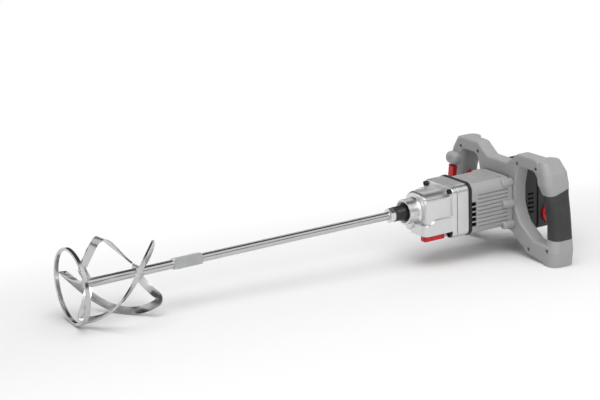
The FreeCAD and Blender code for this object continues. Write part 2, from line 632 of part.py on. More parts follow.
def band(first):
    """One band: a strip of a helicoid with an arm, a bend, a bulging part turn, a bend and an arm.

    The middle line runs in (angle, radius); the strip is half its width to each side of it and half its
    thickness to each side across that. It lies in the helicoid at the rear arm and leans out of it
    towards the hoop.
    """
    middle = s.hoop_radius.value - s.band_wide.value / 2
    turn = math.radians(s.band_turn.value)
    lead = math.radians(s.band_lead.value)
    rise = s.band_length.value / turn
    rear = -(s.stirrer_reach.value - s.hoop_wide.value + s.band_overrun.value) + s.band_length.value
    foot = s.rod_radius.value - 1
    bend = s.band_corner.value

    def stretch(radius):
        return math.hypot(radius, rise)

    def conic(a, b, c, weight, t):
        shares = ((1 - t) ** 2, 2 * weight * t * (1 - t), t * t)
        return tuple(sum(k * v for k, v in zip(shares, spot)) / sum(shares) for spot in zip(a, b, c))

    def leaning(share):
        ease = min(1.0, share)
        return math.radians(s.band_tilt.value) * ease * ease * (3 - 2 * ease)

    arm = math.hypot(middle - foot, lead * stretch(middle))
    corner = math.asin((middle - foot) / arm) / 2
    tangent = bend / math.tan(corner)
    swing = tangent / stretch(middle)
    reach = 1 - tangent / arm
    line = []
    arm_end = (lead * (1 - reach), foot + (middle - foot) * reach)
    for i in range(6):
        share = reach * i / 6
        line.append((lead * (1 - share), foot + (middle - foot) * share, 0.0))
    for i in range(9):
        line.append(conic(arm_end, (0.0, middle), (swing, middle), math.sin(corner), i / 8) + (0.0,))
    for i in range(1, 30):
        bulge = s.band_bulge.value * math.sin(math.pi * i / 30)
        line.append((swing + (turn - 2 * swing) * i / 30, middle + bulge, leaning(i / 12)))
    for i, (angle, radius, lean) in enumerate(reversed(line[:15])):
        line.append((turn - angle, radius, leaning(1 - i / 14)))

    corners = [[], [], [], []]
    for i, (angle, radius, lean) in enumerate(line):
        before, after = line[max(i - 1, 0)], line[min(i + 1, len(line) - 1)]
        along = (after[0] - before[0]) * stretch(radius)
        outward = after[1] - before[1]
        length = math.hypot(along, outward)
        along, outward = along / length, outward / length
        phi = first + angle
        outwards = Vector(0, -math.sin(phi), math.cos(phi))
        forward = Vector(-rise, -radius * math.cos(phi), -radius * math.sin(phi))
        forward.normalize()
        across = outwards.cross(forward)
        level = forward * outward - outwards * along
        flat = level * math.cos(lean) + across * math.sin(lean)
        face = across * math.cos(lean) - level * math.sin(lean)
        spot = Vector(rear - rise * angle, 0, 0) + outwards * radius
        index = 0
        for side in (-0.5, 0.5):
            for lift in (-0.5, 0.5):
                shift = flat * (side * s.band_wide.value) + face * (lift * s.band_thick.value)
                corners[index].append(spot + shift)
                index += 1
    curves = []
    for points in corners:
        curve = Part.BSplineCurve()
        curve.interpolate(points)
        curves.append(curve.toShape())
    faces = [Part.makeRuledSurface(curves[i], curves[k], 1) for i, k in ((0, 1), (1, 3), (3, 2), (2, 0))]
    for end in (0, -1):
        ring_of = [corners[i][end] for i in (0, 1, 3, 2)]
        faces.append(Part.makeFilledFace(Part.makePolygon(ring_of + ring_of[:1]).Edges))
    shell = Part.makeShell(faces)
    shell.sewShape()
    solid = Part.makeSolid(shell)
    if solid.Volume < 0:
        solid.reverse()
    return solid


def stirrer_bands(hoop):
    """The helical bands, welded to the lower rod and to the hoop."""
    rod = drum(s.rod_radius.value, -s.stirrer_reach.value, -s.coupling_reach.value)
    count = int(s.band_count.value)
    for i in range(count):
        first = math.radians(s.band_first.value) + 2 * math.pi * i / count
        shape = band(first).cut(rod).cut(hoop.Shape)
        solids = sorted(shape.Solids, key=lambda piece: piece.Volume)
        keep(made("band_%d" % (i + 1), solids[-1]), "band_%d" % (i + 1))


# Spindle group

def spindle_group():
    """Spindle, oil seal, bearings, both gears and the shift sleeve."""
    nose = s.nose_reach + front_bearing_x - s.face_gap
    seat = s.nose_reach + front_bearing_end + s.face_gap
    gears = s.nose_reach + carrier_x - s.face_gap / 2
    end = s.nose_reach + carrier_x + s.carrier_wide
    bore = s.thread_radius + s.fit_gap
    keep(turned("spindle", ((0, bore), (s.thread_depth + 1, bore), (s.thread_depth + 1, 0), (end, 0),
                            (end, s.rear_bearing_bore), (gears, s.rear_bearing_bore),
                            (gears, s.spindle_radius), (seat, s.spindle_radius),
                            (seat, s.front_bearing_bore), (nose, s.front_bearing_bore),
                            (nose, s.nose_radius), (1.5, s.nose_radius), (0, s.nose_radius - 1.5)),
                -s.nose_reach), "spindle")
    keep(ring("oil_seal", s.nose_radius + s.run_gap, seal_outer, s.seal_wide, s.seal_lip), "oil_seal")
    keep(ring("spindle_front_bearing", s.front_bearing_bore + s.run_gap, front_bearing_outer,
              s.front_bearing_wide, front_bearing_x), "spindle_front_bearing")
    keep(ring("spindle_rear_bearing", s.rear_bearing_bore + s.run_gap, rear_bearing_outer,
              s.carrier_wide - 2 * s.face_gap, carrier_x + s.face_gap), "spindle_rear_bearing")

    dogs = [(s.dog_ring.value * math.cos(a), s.dog_ring.value * math.sin(a))
            for a in (math.pi / 2, math.pi * 7 / 6, math.pi * 11 / 6)]
    shift = -s.tooth_shift.value
    low = gear(s.low_gear_teeth.value, s.gear_module.value, shift, s.gear_wide.value,
               s.spindle_radius.value + s.fit_gap.value, to_lay)
    hole = s.dog_radius.value + s.free_gap.value
    for y, z in dogs:
        low = low.cut(drum(hole, s.gear_wide.value - s.dog_reach.value, s.gear_wide.value + 1, y, z))
    low.translate(Vector(low_x.value, 0, 0))
    keep(made("low_gear", low), "low_gear")
    high = gear(high_gear_teeth.value, s.gear_module.value, shift, s.gear_wide.value,
                s.spindle_radius.value + s.run_gap.value, to_lay)
    for y, z in dogs:
        high = high.cut(drum(hole, -1, s.dog_reach.value, y, z))
    high.translate(Vector(high_x.value, 0, 0))
    keep(made("high_gear", high), "high_gear")

    inner = s.spindle_radius + s.run_gap
    waist = s.sleeve_radius - s.groove_depth
    lip = (s.sleeve_wide - s.groove_wide) / 2
    drum_body = turned("sleeve_body", ((0, inner), (s.sleeve_wide, inner), (s.sleeve_wide, s.sleeve_radius),
                                       (s.sleeve_wide - lip, s.sleeve_radius), (s.sleeve_wide - lip, waist),
                                       (lip, waist), (lip, s.sleeve_radius), (0,
                                                                              s.sleeve_radius)), sleeve_x)
    reach = s.face_gap + s.dog_reach - s.free_gap
    pins = []
    for i, (y, z) in enumerate(dogs):
        pins.append(cylinder("dog_pin_%d" % i, s.dog_radius, reach + lip, sleeve_x - reach, y, z))
    keep(fuse("shift_sleeve", drum_body, *pins), "shift_sleeve")


def layshaft_group():
    """Intermediate shaft with two pinions and its wheel, and its bearings."""
    start = lay_front_x
    total = lay_rear_x + s.layshaft_bearing_wide - start
    front = s.layshaft_bearing_wide + s.face_gap
    rear = lay_rear_x - s.face_gap - start
    keep(turned("layshaft", ((0, 0), (total, 0), (total, s.layshaft_seat), (rear, s.layshaft_seat),
                             (rear, s.layshaft_radius), (front, s.layshaft_radius),
                             (front, s.layshaft_seat), (0,
                                                        s.layshaft_seat)), start, lay_y, lay_z), "layshaft")
    bore = s.layshaft_radius.value + s.fit_gap.value
    for label, teeth, module, x, wide, first, shift in (
            ("low_pinion", s.low_pinion_teeth, s.gear_module, low_x, s.gear_wide,
             from_lay + math.pi / s.low_pinion_teeth.value, s.tooth_shift.value),
            ("high_pinion", s.high_pinion_teeth, s.gear_module, high_x, s.gear_wide,
             from_lay + math.pi / s.high_pinion_teeth.value, s.tooth_shift.value),
            ("layshaft_wheel", s.wheel_teeth, s.wheel_module, wheel_x, s.wheel_wide,
             lay_to_motor, -s.tooth_shift.value)):
        shape = gear(teeth.value, module.value, shift, wide.value, bore, first)
        shape.translate(Vector(x.value, lay_y.value, lay_z.value))
        keep(made(label, shape), label)
    rings = [ring("layshaft_bearing_%s" % name, s.layshaft_seat + s.run_gap, lay_bearing_outer,
                  s.layshaft_bearing_wide, x, lay_y, lay_z)
             for name, x in (("front", lay_front_x), ("rear", lay_rear_x))]
    for bearing in rings:
        keep(bearing, bearing.Name)


# Gear selector

selector_x = sleeve_x + s.sleeve_wide / 2 + s.shift_travel / 2
selector_y = -s.boss_side
eccentric = s.shift_travel / 2 / math.sin(math.radians(s.shift_turn.value / 2))


def selector_group():
    """Shift fork on its rod, and the selector shaft with its eccentric pin and lever."""
    thick = s.groove_wide.value - 2 * s.free_gap.value
    x = sleeve_x.value + s.sleeve_wide.value / 2 - thick / 2
    inner = s.sleeve_radius.value - s.groove_depth.value + s.free_gap.value
    outer = s.sleeve_radius.value + 2 * s.fork_boss.value
    rod_y, rod_z = -s.fork_rod_side.value, -s.fork_rod_drop.value
    jaw = drum(outer, x, x + thick).cut(drum(inner, x - 1, x + thick + 1))
    jaw = jaw.cut(Part.makeBox(thick + 2, 4 * outer, 2 * outer, Vector(x - 1, -2 * outer, 0)))
    boss = s.fork_rod_radius.value + s.fork_boss.value
    hub = drum(boss, x - s.fork_boss.value, x + thick + s.fork_boss.value, rod_y, rod_z)
    web = Part.makeBox(thick, outer - boss / 2, 2 * boss, Vector(x, rod_y, rod_z - boss / 2))
    web = web.cut(drum(inner, x - 1, x + thick + 1))
    pin_y = -(s.boss_side.value + eccentric.value)
    slot_wide = s.fork_pin_radius.value + s.free_gap.value / 2
    floor = -boss_down.value + s.case_floor.value
    plate_low = floor + 3 * s.free_gap.value + s.fork_boss.value
    plate_deep = 2 * s.fork_boss.value + slot_wide
    plate_y = pin_y - slot_wide - s.fork_boss.value
    plate = Part.makeBox(2 * plate_deep, s.fork_boss.value * 2 + 3 * slot_wide,
                         rod_z - boss * 0.6 - plate_low,
                         Vector(x + thick / 2 - plate_deep, plate_y, plate_low))
    slot = Part.makeBox(2 * slot_wide, 6 * slot_wide, rod_z - boss - plate_low + 1,
                        Vector(x + thick / 2 - slot_wide, plate_y - 1, plate_low - 1))
    fork = jaw.fuse([hub, web, plate]).cut(slot)
    fork = fork.cut(drum(s.fork_rod_radius.value + s.run_gap.value, x - 20, x + 20, rod_y, rod_z))
    keep(made("shift_fork", fork.removeSplitter()), "shift_fork")
    start = s.collar_length + s.fit_gap
    keep(cylinder("fork_rod", s.fork_rod_radius, carrier_x + s.carrier_wide / 2 - start, start,
                  -s.fork_rod_side, -s.fork_rod_drop), "fork_rod")

    half = math.radians(s.shift_turn.value / 2)
    low = boss_down + s.face_gap
    top = s.case_floor + s.face_gap + 2 * s.free_gap
    upright = Rotation()
    shaft = cylinder("selector_shaft_bar", s.selector_shaft, top, selector_x, selector_y, -low, upright)
    disc = cylinder("selector_disc", eccentric + s.fork_pin_radius, 2 * s.free_gap, selector_x, selector_y,
                    top - low - 2 * s.free_gap, upright)
    pin_high = s.fork_boss + 5 * s.free_gap
    pin = cylinder("selector_pin", s.fork_pin_radius, pin_high, selector_x - eccentric * math.sin(half),
                   selector_y - eccentric * math.cos(half), top - low, upright)
    keep(fuse("selector_shaft", shaft, disc, pin), "selector_shaft")

    wide = s.lever_wide.value / 2
    long = s.lever_length.value / 2
    high = s.lever_high.value
    bar = Part.makeBox(2 * long, 2 * wide, high, Vector(-long, -wide, -high))
    bar = bar.makeFillet(wide * 0.6, [e for e in bar.Edges if abs(e.Vertexes[0].Z - e.Vertexes[1].Z) > 1])
    bar = bar.makeFillet(high / 5, [e for e in bar.Edges if e.BoundBox.ZMax < -high + 0.01])
    hub = Part.makeCylinder(s.selector_shaft.value * 2, high * 0.8, Vector(), DOWN)
    lever = bar.fuse(hub).removeSplitter()
    lever.rotate(Vector(), Vector(0, 0, 1), -s.shift_turn.value / 4)
    grip = made("selector_lever", lever)
    grip.Placement = Placement(Vector(selector_x.value, selector_y.value, -low.value), Rotation())
    keep(grip, "selector_lever")


# Gearbox case

def case_block(inset, x_from, x_to, soft=0.0):
    """Gear housing between two x, drawn in by an inset.

    The barrel has its full section behind sump_x, with a lower sump on the far side. Ahead of that its far
    half is only as wide as the low gear and the low pinion.
    """
    half, up = case_half.value - inset, case_up.value - inset
    floor = min(inset, s.case_floor.value)
    near, deep = floor - boss_down.value, floor - case_down.value
    top = max(s.case_round_top.value - inset, 2.0)
    low = max(s.case_round_low.value - inset, 2.0)
    side = s.sump_side.value + inset
    full_x = max(s.collar_length.value + s.sump_x.value + inset, x_from)
    barrel = slab(((half, up, top), (half, near, low), (-half, near, low), (-half, up, top)), x_from, x_to)
    inner = min(low, 5.0)
    sump = slab(((half, near / 2, inner), (half, deep, low), (side, deep, inner), (side, near / 2, inner)),
                full_x, x_to)
    if soft > 0:
        barrel = barrel.makeFillet(soft, edges_at(barrel, x_from))
        sump = sump.makeFillet(inner / 2, edges_at(sump, full_x))
    if full_x > x_from:
        big = 4 * half
        barrel = barrel.cut(Part.makeBox(full_x - x_from + 1, big, big, Vector(x_from - 1, 0, -big / 2)))
        wheel = drum(up, x_from, full_x + 1)
        pinion = drum(low_pinion_tip.value + s.free_gap.value + s.case_wall.value - inset, x_from,
                      full_x + 1,
                      lay_y.value, lay_z.value)
        if soft > 0:
            wheel = wheel.makeFillet(soft, edges_at(wheel, x_from))
            pinion = pinion.makeFillet(soft / 2, edges_at(pinion, x_from))
        barrel = barrel.fuse(wheel).fuse(pinion)
    return barrel.fuse(sump)


def selector_boss():
    """Boss over the selector, whose top rises towards the rear in an S."""
    out, low = case_half.value + s.boss_out.value, -boss_down.value
    front = selector_x.value - s.boss_ahead.value
    back = selector_x.value + s.boss_behind.value
    top = -s.boss_top.value
    high = top + s.boss_rise.value
    bend, rest = front + s.boss_ahead.value / 4, front + s.boss_ahead.value * 5 / 6
    spots = [Vector(x, -out, z) for x, z in ((bend, top), (front, top), (front, low), (back, low),
                                             (back, high),
                                             (rest, high))]
    rise = Part.BezierCurve()
    middle = (bend + rest) / 2
    rise.setPoles([spots[-1], Vector(middle, -out, high), Vector(middle, -out, top), spots[0]])
    outline = Part.Wire(Part.makePolygon(spots).Edges + [rise.toShape()])
    boss = Part.Face(outline).extrude(Vector(0, out, 0))
    corner = [e for e in boss.Edges if e.BoundBox.XMax < front + 0.01 and e.BoundBox.YMax < -out + 0.01]
    boss = boss.makeFillet(s.case_round_low.value, corner)
    crown = [e for e in boss.Edges if e.BoundBox.ZMin > top - 0.01 and e.BoundBox.YMin < -0.01
             and e.BoundBox.XMin < back - 0.01]
    return boss.makeFillet(s.case_front.value / 2, crown)


def side_panel(x_from, x_to):
    """Panel on the near wall of the housing, whose top is a shelf below the upper screws."""
    out = case_half.value + s.shelf_out.value
    low = s.case_round_low.value - boss_down.value
    panel = Part.makeBox(x_to - x_from, s.case_round_low.value, s.shelf_up.value - low,
                         Vector(x_from, -out, low))
    near = [e for e in panel.Edges if e.BoundBox.YMax < -out + 0.01
            and (e.BoundBox.XMax < x_from + 0.01 or e.BoundBox.ZMin > s.shelf_up.value - 0.01)]
    return panel.makeFillet(s.case_front.value, near)


def gear_housing():
    """Cast housing: collar with a lug below it, barrel, flange and selector boss."""
    front, end = s.collar_length.value, plate_x.value
    body = case_block(0.0, front, end, s.case_round_front.value)
    wide, flare = s.collar_radius.value, s.collar_flare.value
    clamp, neck = s.collar_clamp.value, wide - s.collar_relief.value
    back = front + s.case_wall.value
    outline = ((0, 0), (0, wide), (clamp, wide), (clamp, neck), (front - flare, neck),
               (front, neck + flare / 2),
               (front + 1, neck + flare), (back, neck + flare), (back, 0))
    spots = [Vector(x, 0, z) for x, z in outline]
    collar = Part.Face(Part.makePolygon(spots + spots[:1])).revolve(Vector(), Vector(1, 0, 0), 360)
    lug = drum(s.lug_radius.value, front - s.lug_reach.value, front + s.case_wall.value, 0,
               -s.lug_drop.value)
    lug = lug.makeFillet(s.lug_radius.value / 4, edges_at(lug, front - s.lug_reach.value))
    flange_x = end - s.flange_wide.value
    flange = slab(frame_box(s.plate_half.value, s.plate_up.value, s.plate_down.value, s.plate_round.value),
                  flange_x, end)
    flange = flange.makeFillet(2.0, edges_at(flange, flange_x))
    panel = side_panel(front + 1, flange_x + 1)
    far_panel = mirrored(side_panel(front + s.sump_x.value, flange_x + 1))
    for addition in (collar, lug, flange, selector_boss(), panel, far_panel):
        body = body.fuse(addition)

    channel = s.screw_head.value + s.free_gap.value
    seat_x = flange_x - s.screw_head_wide.value
    for side in (-1, 1):
        y = side * s.case_screw_side.value
        body = body.cut(drum(channel, front - 1, flange_x, y, s.case_screw_up.value))
        body = body.cut(drum(channel, seat_x, flange_x, y, -s.case_screw_down.value))
        for z in (s.case_screw_up.value, -s.case_screw_down.value):
            body = body.cut(drum(s.screw_shank.value + s.fit_gap.value, flange_x - 1, end + 1, y, z))
    inside = case_block(s.case_wall.value, cavity_x.value, end + 1)
    guards = [drum(channel + s.case_front.value, cavity_x.value, end, side * s.case_screw_side.value,
                   s.case_screw_up.value) for side in (-1, 1)]
    inside = inside.cut(guards[0]).cut(guards[1])
    wheel_room = drum(wheel_tip.value + s.face_gap.value, wheel_x.value - s.face_gap.value, end + 1,
                      lay_y.value, lay_z.value)
    pinion_room = drum(high_pinion_tip.value + s.free_gap.value, high_x.value - s.face_gap.value,
                       carrier_x.value, lay_y.value, lay_z.value)
    body = body.cut(inside).cut(wheel_room).cut(pinion_room)
    fit = s.fit_gap.value
    for radius, x_from, x_to in ((s.nose_radius.value + s.free_gap.value, -1, cavity_x.value + 1),
                                 (seal_outer.value + fit, -1, seal_end.value),
                                 (front_bearing_outer.value + fit, seal_end.value,
                                  front_bearing_end.value)):
        body = body.cut(drum(radius, x_from, x_to))
    body = body.cut(drum(lay_bearing_outer.value + fit, lay_front_x.value, cavity_x.value + 1,
                         lay_y.value, lay_z.value))
    body = body.cut(drum(s.fork_rod_radius.value + fit, front + fit, cavity_x.value + 1,
                         -s.fork_rod_side.value, -s.fork_rod_drop.value))
    hole = Part.makeCylinder(s.selector_shaft.value + s.run_gap.value, s.case_floor.value + 2,
                             Vector(selector_x.value, selector_y.value, -boss_down.value - 1))
    body = body.cut(hole)
    parting = slab(frame_box(s.plate_half.value, s.plate_up.value, s.plate_down.value, s.plate_round.value,
                             -1.0),
                   end - s.parting_wide.value, end)
    parting = parting.cut(slab(frame_box(s.plate_half.value, s.plate_up.value, s.plate_down.value,
                                         s.plate_round.value, s.parting_deep.value), end - 2, end + 1))
    body = body.cut(parting)
    gutter = drum(s.case_front.value * 0.7, front + s.case_front.value, flange_x,
                  s.shelf_out.value + case_half.value - 2 * s.case_front.value,
                  s.shelf_up.value + s.case_front.value / 4)
    body = body.cut(gutter).cut(mirrored(gutter)).removeSplitter()
    keep(made("gear_housing", body), "gear_housing")


def bearing_carrier():
    """Cross wall in the gear housing that holds the spindle's rear bearing and the fork rod."""
    x, end = carrier_x.value, carrier_x.value + s.carrier_wide.value
    wall = case_block(s.case_wall.value + s.fit_gap.value, x, end)
    channel = s.screw_head.value + s.free_gap.value + s.case_front.value + s.fit_gap.value
    for side in (-1, 1):
        wall = wall.cut(drum(channel, x - 1, end + 1, side * s.case_screw_side.value,
                             s.case_screw_up.value))
    wall = wall.cut(drum(rear_bearing_outer.value + s.fit_gap.value, x - 1, end - s.face_gap.value))
    wall = wall.cut(drum(s.rear_bearing_bore.value + s.free_gap.value, x, end + 1))
    wall = wall.cut(drum(s.layshaft_radius.value + s.face_gap.value, x - 1, end + 1, lay_y.value,
                         lay_z.value))
    wall = wall.cut(drum(s.fork_rod_radius.value + s.fit_gap.value, x - 1, x + s.carrier_wide.value / 2,
                         -s.fork_rod_side.value, -s.fork_rod_drop.value))
    keep(made("bearing_carrier", wall), "bearing_carrier")


def plate_corners(inset=0.0):
    """Corners of the rear plate's section."""
    return frame_box(s.plate_half.value, s.plate_up.value, s.plate_down.value, s.plate_round.value, inset)


def gearbox_plate():
    """Rear plate between gearbox and motor, with seats for the armature and the intermediate shaft."""
    x, end = plate_x.value, plate_end.value
    fit = s.fit_gap.value
    drop = -s.motor_drop.value
    plate = slab(plate_corners(), x, end)
    plate = plate.makeFillet(1.0, edges_at(plate, x) + edges_at(plate, end))
    plate = plate.cut(drum(drive_tip.value + s.face_gap.value, x - 1, motor_bearing_x.value, 0, drop))
    plate = plate.cut(drum(motor_bearing_outer.value + fit, motor_bearing_x.value, end + 1, 0, drop))
    plate = plate.cut(drum(lay_bearing_outer.value + fit, lay_rear_x.value,
                           lay_rear_x.value + s.layshaft_bearing_wide.value, lay_y.value, lay_z.value))
    plate = plate.cut(drum(s.layshaft_radius.value + s.face_gap.value, x - 1, lay_rear_x.value + 1,
                           lay_y.value, lay_z.value))
    for side in (-1, 1):
        for z in (s.case_screw_up.value, -s.case_screw_down.value):
            plate = plate.cut(drum(s.screw_shank.value + fit, x - 1, x + s.plate_length.value / 2,
                                   side * s.case_screw_side.value, z))
    keep(made("gearbox_plate", plate), "gearbox_plate")


def gearbox_screws():
    """Four screws from the gear housing into the rear plate."""
    head_x = plate_x - s.flange_wide - s.screw_head_wide
    screws = []
    for i, (side, z) in enumerate(((-1, s.case_screw_up), (1, s.case_screw_up),
                                   (-1, -s.case_screw_down), (1, -s.case_screw_down))):
        y = side * s.case_screw_side
        screws.append(turned("gearbox_screw_%d" % i, screw_corners(s.flange_wide + s.plate_length / 2 - 1),
                             head_x, y, z))
    group = doc.addObject("Part::Compound", "gearbox_screws")
    group.Links = screws
    keep(group, "gearbox_screws")


def stud_corners(shank):
    """Profile of a socket screw whose tip starts at the origin."""
    socket, neck = s.screw_head / 2, shank + s.screw_head_wide / 2
    end = shank + s.screw_head_wide
    return ((0, 0), (neck, 0), (neck, socket), (end, socket), (end, s.screw_head), (shank, s.screw_head),
            (shank, s.screw_shank), (0, s.screw_shank))


def screw_corners(shank):
    """Profile of a socket screw whose head starts at the origin."""
    socket = s.screw_head / 2
    return ((s.screw_head_wide / 2, 0), (s.screw_head_wide + shank, 0),
            (s.screw_head_wide + shank, s.screw_shank),
            (s.screw_head_wide, s.screw_shank), (s.screw_head_wide, s.screw_head), (0, s.screw_head),
            (0, socket), (s.screw_head_wide / 2, socket))


# Motor

def motor_corners(inset=0.0):
    """Corners of the motor housing's section."""
    return frame_box(s.motor_half.value, s.motor_up.value, s.motor_down.value, s.motor_round.value, inset)


def air_guide():
    """Black edge between plate and motor housing, with a sleeve that backs the exhaust slots."""
    x, end = plate_end.value, motor_x.value
    edge = slab(plate_corners(-1.2), x, end)
    sleeve = slab(motor_corners(s.motor_wall.value + s.fit_gap.value), x, end + s.guide_sleeve.value)
    room = slab(motor_corners(s.motor_wall.value + s.guide_wall.value), x - 1,
                end + s.guide_sleeve.value + 1)
    guide = edge.fuse(sleeve).cut(room)
    for side in (-1, 1):
        for z in vent_heights(s.vent_count, s.vent_pitch, s.vent_drop):
            slot = Part.makeBox(s.vent_long.value - 2, s.motor_half.value, s.vent_high.value - 2,
                                Vector(end + 1, 0 if side > 0 else -s.motor_half.value,
                                       z - s.vent_high.value / 2 + 1))
            guide = guide.cut(slot)
    keep(made("air_guide", guide.removeSplitter()), "air_guide")


def vent_heights(count, pitch, drop):
    """Middle heights of a column of slots."""
    number = int(count.value)
    return [-drop.value + pitch.value * (i - (number - 1) / 2) for i in range(number)]


def boss_spots():
    """Places of the motor screws, on both sides."""
    side = s.motor_half.value - 1.5
    heights = (s.motor_up.value - s.motor_round.value / 2, -s.motor_drop.value + s.motor_boss.value,
               s.motor_boss.value - s.motor_down.value - 1)
    return [(k * y, z) for k in (-1, 1) for y, z in
            ((side - 3, heights[0]), (side + 0.7, heights[1]), (side + 1, heights[2]))]


def motor_housing():
    """Ribbed housing round the stator, with exhaust slots in front and screw bosses behind."""
    x, end = motor_x.value, motor_end.value
    body = slab(motor_corners(), x, end)
    body = body.makeFillet(1.5, edges_at(body, x) + edges_at(body, end))
    panel_x = x + s.vent_long.value + 3
    pitch = (s.panel_up.value + s.panel_down.value) / s.rib_count.value
    for side in (-1, 1):
        y = s.motor_half.value - s.rib_deep.value if side > 0 else -s.motor_half.value - 1
        for i in range(int(s.rib_count.value)):
            groove = Part.makeBox(s.rib_length.value, s.rib_deep.value + 1, pitch - s.rib_wide.value,
                                  Vector(panel_x, y, -s.panel_down.value + pitch * i))
            body = body.cut(groove)
        for z in vent_heights(s.vent_count, s.vent_pitch, s.vent_drop):
            slot = Part.makeBox(s.vent_long.value + 1, 2 * s.motor_wall.value, s.vent_high.value,
                                Vector(x - 1, side * s.motor_half.value - s.motor_wall.value,
                                       z - s.vent_high.value / 2))
            body = body.cut(slot)
    level = s.motor_half.value - s.motor_round.value
    pitch = 2 * level / s.top_rib_count.value
    for i in range(int(s.top_rib_count.value)):
        groove = Part.makeBox(s.rib_length.value, pitch - s.rib_wide.value, s.top_rib_deep.value + 1,
                              Vector(panel_x, -level + pitch * i, s.motor_up.value - s.top_rib_deep.value))
        body = body.cut(groove)
    boss_x, back = end - s.motor_boss_long.value, frame_x.value - s.face_gap.value
    bead_x = end - s.bead_wide.value
    bead = slab(motor_corners(-s.bead_out.value), bead_x, back)
    bead = bead.makeFillet(s.bead_out.value, edges_at(bead, bead_x) + edges_at(bead, back))
    over = s.motor_up.value - s.motor_round.value / 2
    bead = bead.cut(Part.makeBox(back - end + 1, 4 * s.motor_half.value, s.motor_up.value,
                                 Vector(end, -2 * s.motor_half.value, over)))
    bosses = [bead]
    for y, z in boss_spots():
        boss = drum(s.motor_boss.value, boss_x, back, y, z)
        bosses.append(boss.makeFillet(s.motor_boss.value / 2, edges_at(boss, boss_x)))
    body = body.fuse(bosses)
    outer = s.core_radius.value + s.air_gap.value + s.stator_wall.value
    room = slab(motor_corners(s.motor_wall.value), x - 1, back + 1)
    seat = drum(outer + s.motor_wall.value, stator_x.value, stator_x.value + s.core_length.value, 0,
                -s.motor_drop.value)
    frame = seat.common(slab(motor_corners(0.5), x, end))
    cradle = slab(motor_corners(s.motor_wall.value), stator_x.value,
                  stator_x.value + s.core_length.value).cut(seat)
    body = body.cut(room).fuse(frame.cut(drum(outer + s.fit_gap.value, x - 1, end + 1, 0,
                                              -s.motor_drop.value)))
    body = body.cut(cradle)
    for y, z in boss_spots():
        body = body.cut(drum(s.screw_shank.value + s.fit_gap.value, boss_x + s.motor_boss.value / 2,
                             back + 1, y,
                             z))
    keep(made("motor_housing", body.removeSplitter()), "motor_housing")


def motor_screws():
    """Six screws from the handle frame's front shell into the motor housing's bosses."""
    screws = []
    tip = motor_end - s.motor_boss_long + s.motor_boss / 2 + s.free_gap
    shank = frame_x + s.frame_front - s.screw_head_wide - tip
    for i, (y, z) in enumerate(boss_spots()):
        screws.append(turned("motor_screw_%d" % i, stud_corners(shank), tip, y, z))
    group = doc.addObject("Part::Compound", "motor_screws")
    group.Links = screws
    keep(group, "motor_screws")


def damping_ring():
    """Black rubber inside the motor housing's rear edge, against the handle frame."""
    x, end = motor_end.value, frame_x.value
    inset = s.motor_wall.value + s.fit_gap.value
    pad = slab(motor_corners(inset), x, end)
    pad = pad.cut(slab(motor_corners(inset + s.rear_wall.value), x - 1, end + 1))
    for y, z in boss_spots():
        pad = pad.cut(drum(s.screw_shank.value + s.free_gap.value, x - 1, end + 1, y, z))
    keep(made("damping_ring", pad), "damping_ring")


stator_x = motor_x + s.guide_sleeve + s.coil_head
stator_end = stator_x + s.core_length
commutator_x = stator_end + s.winding_length + s.coil_head / 2
rear_bearing_x = rear_end - s.rear_back


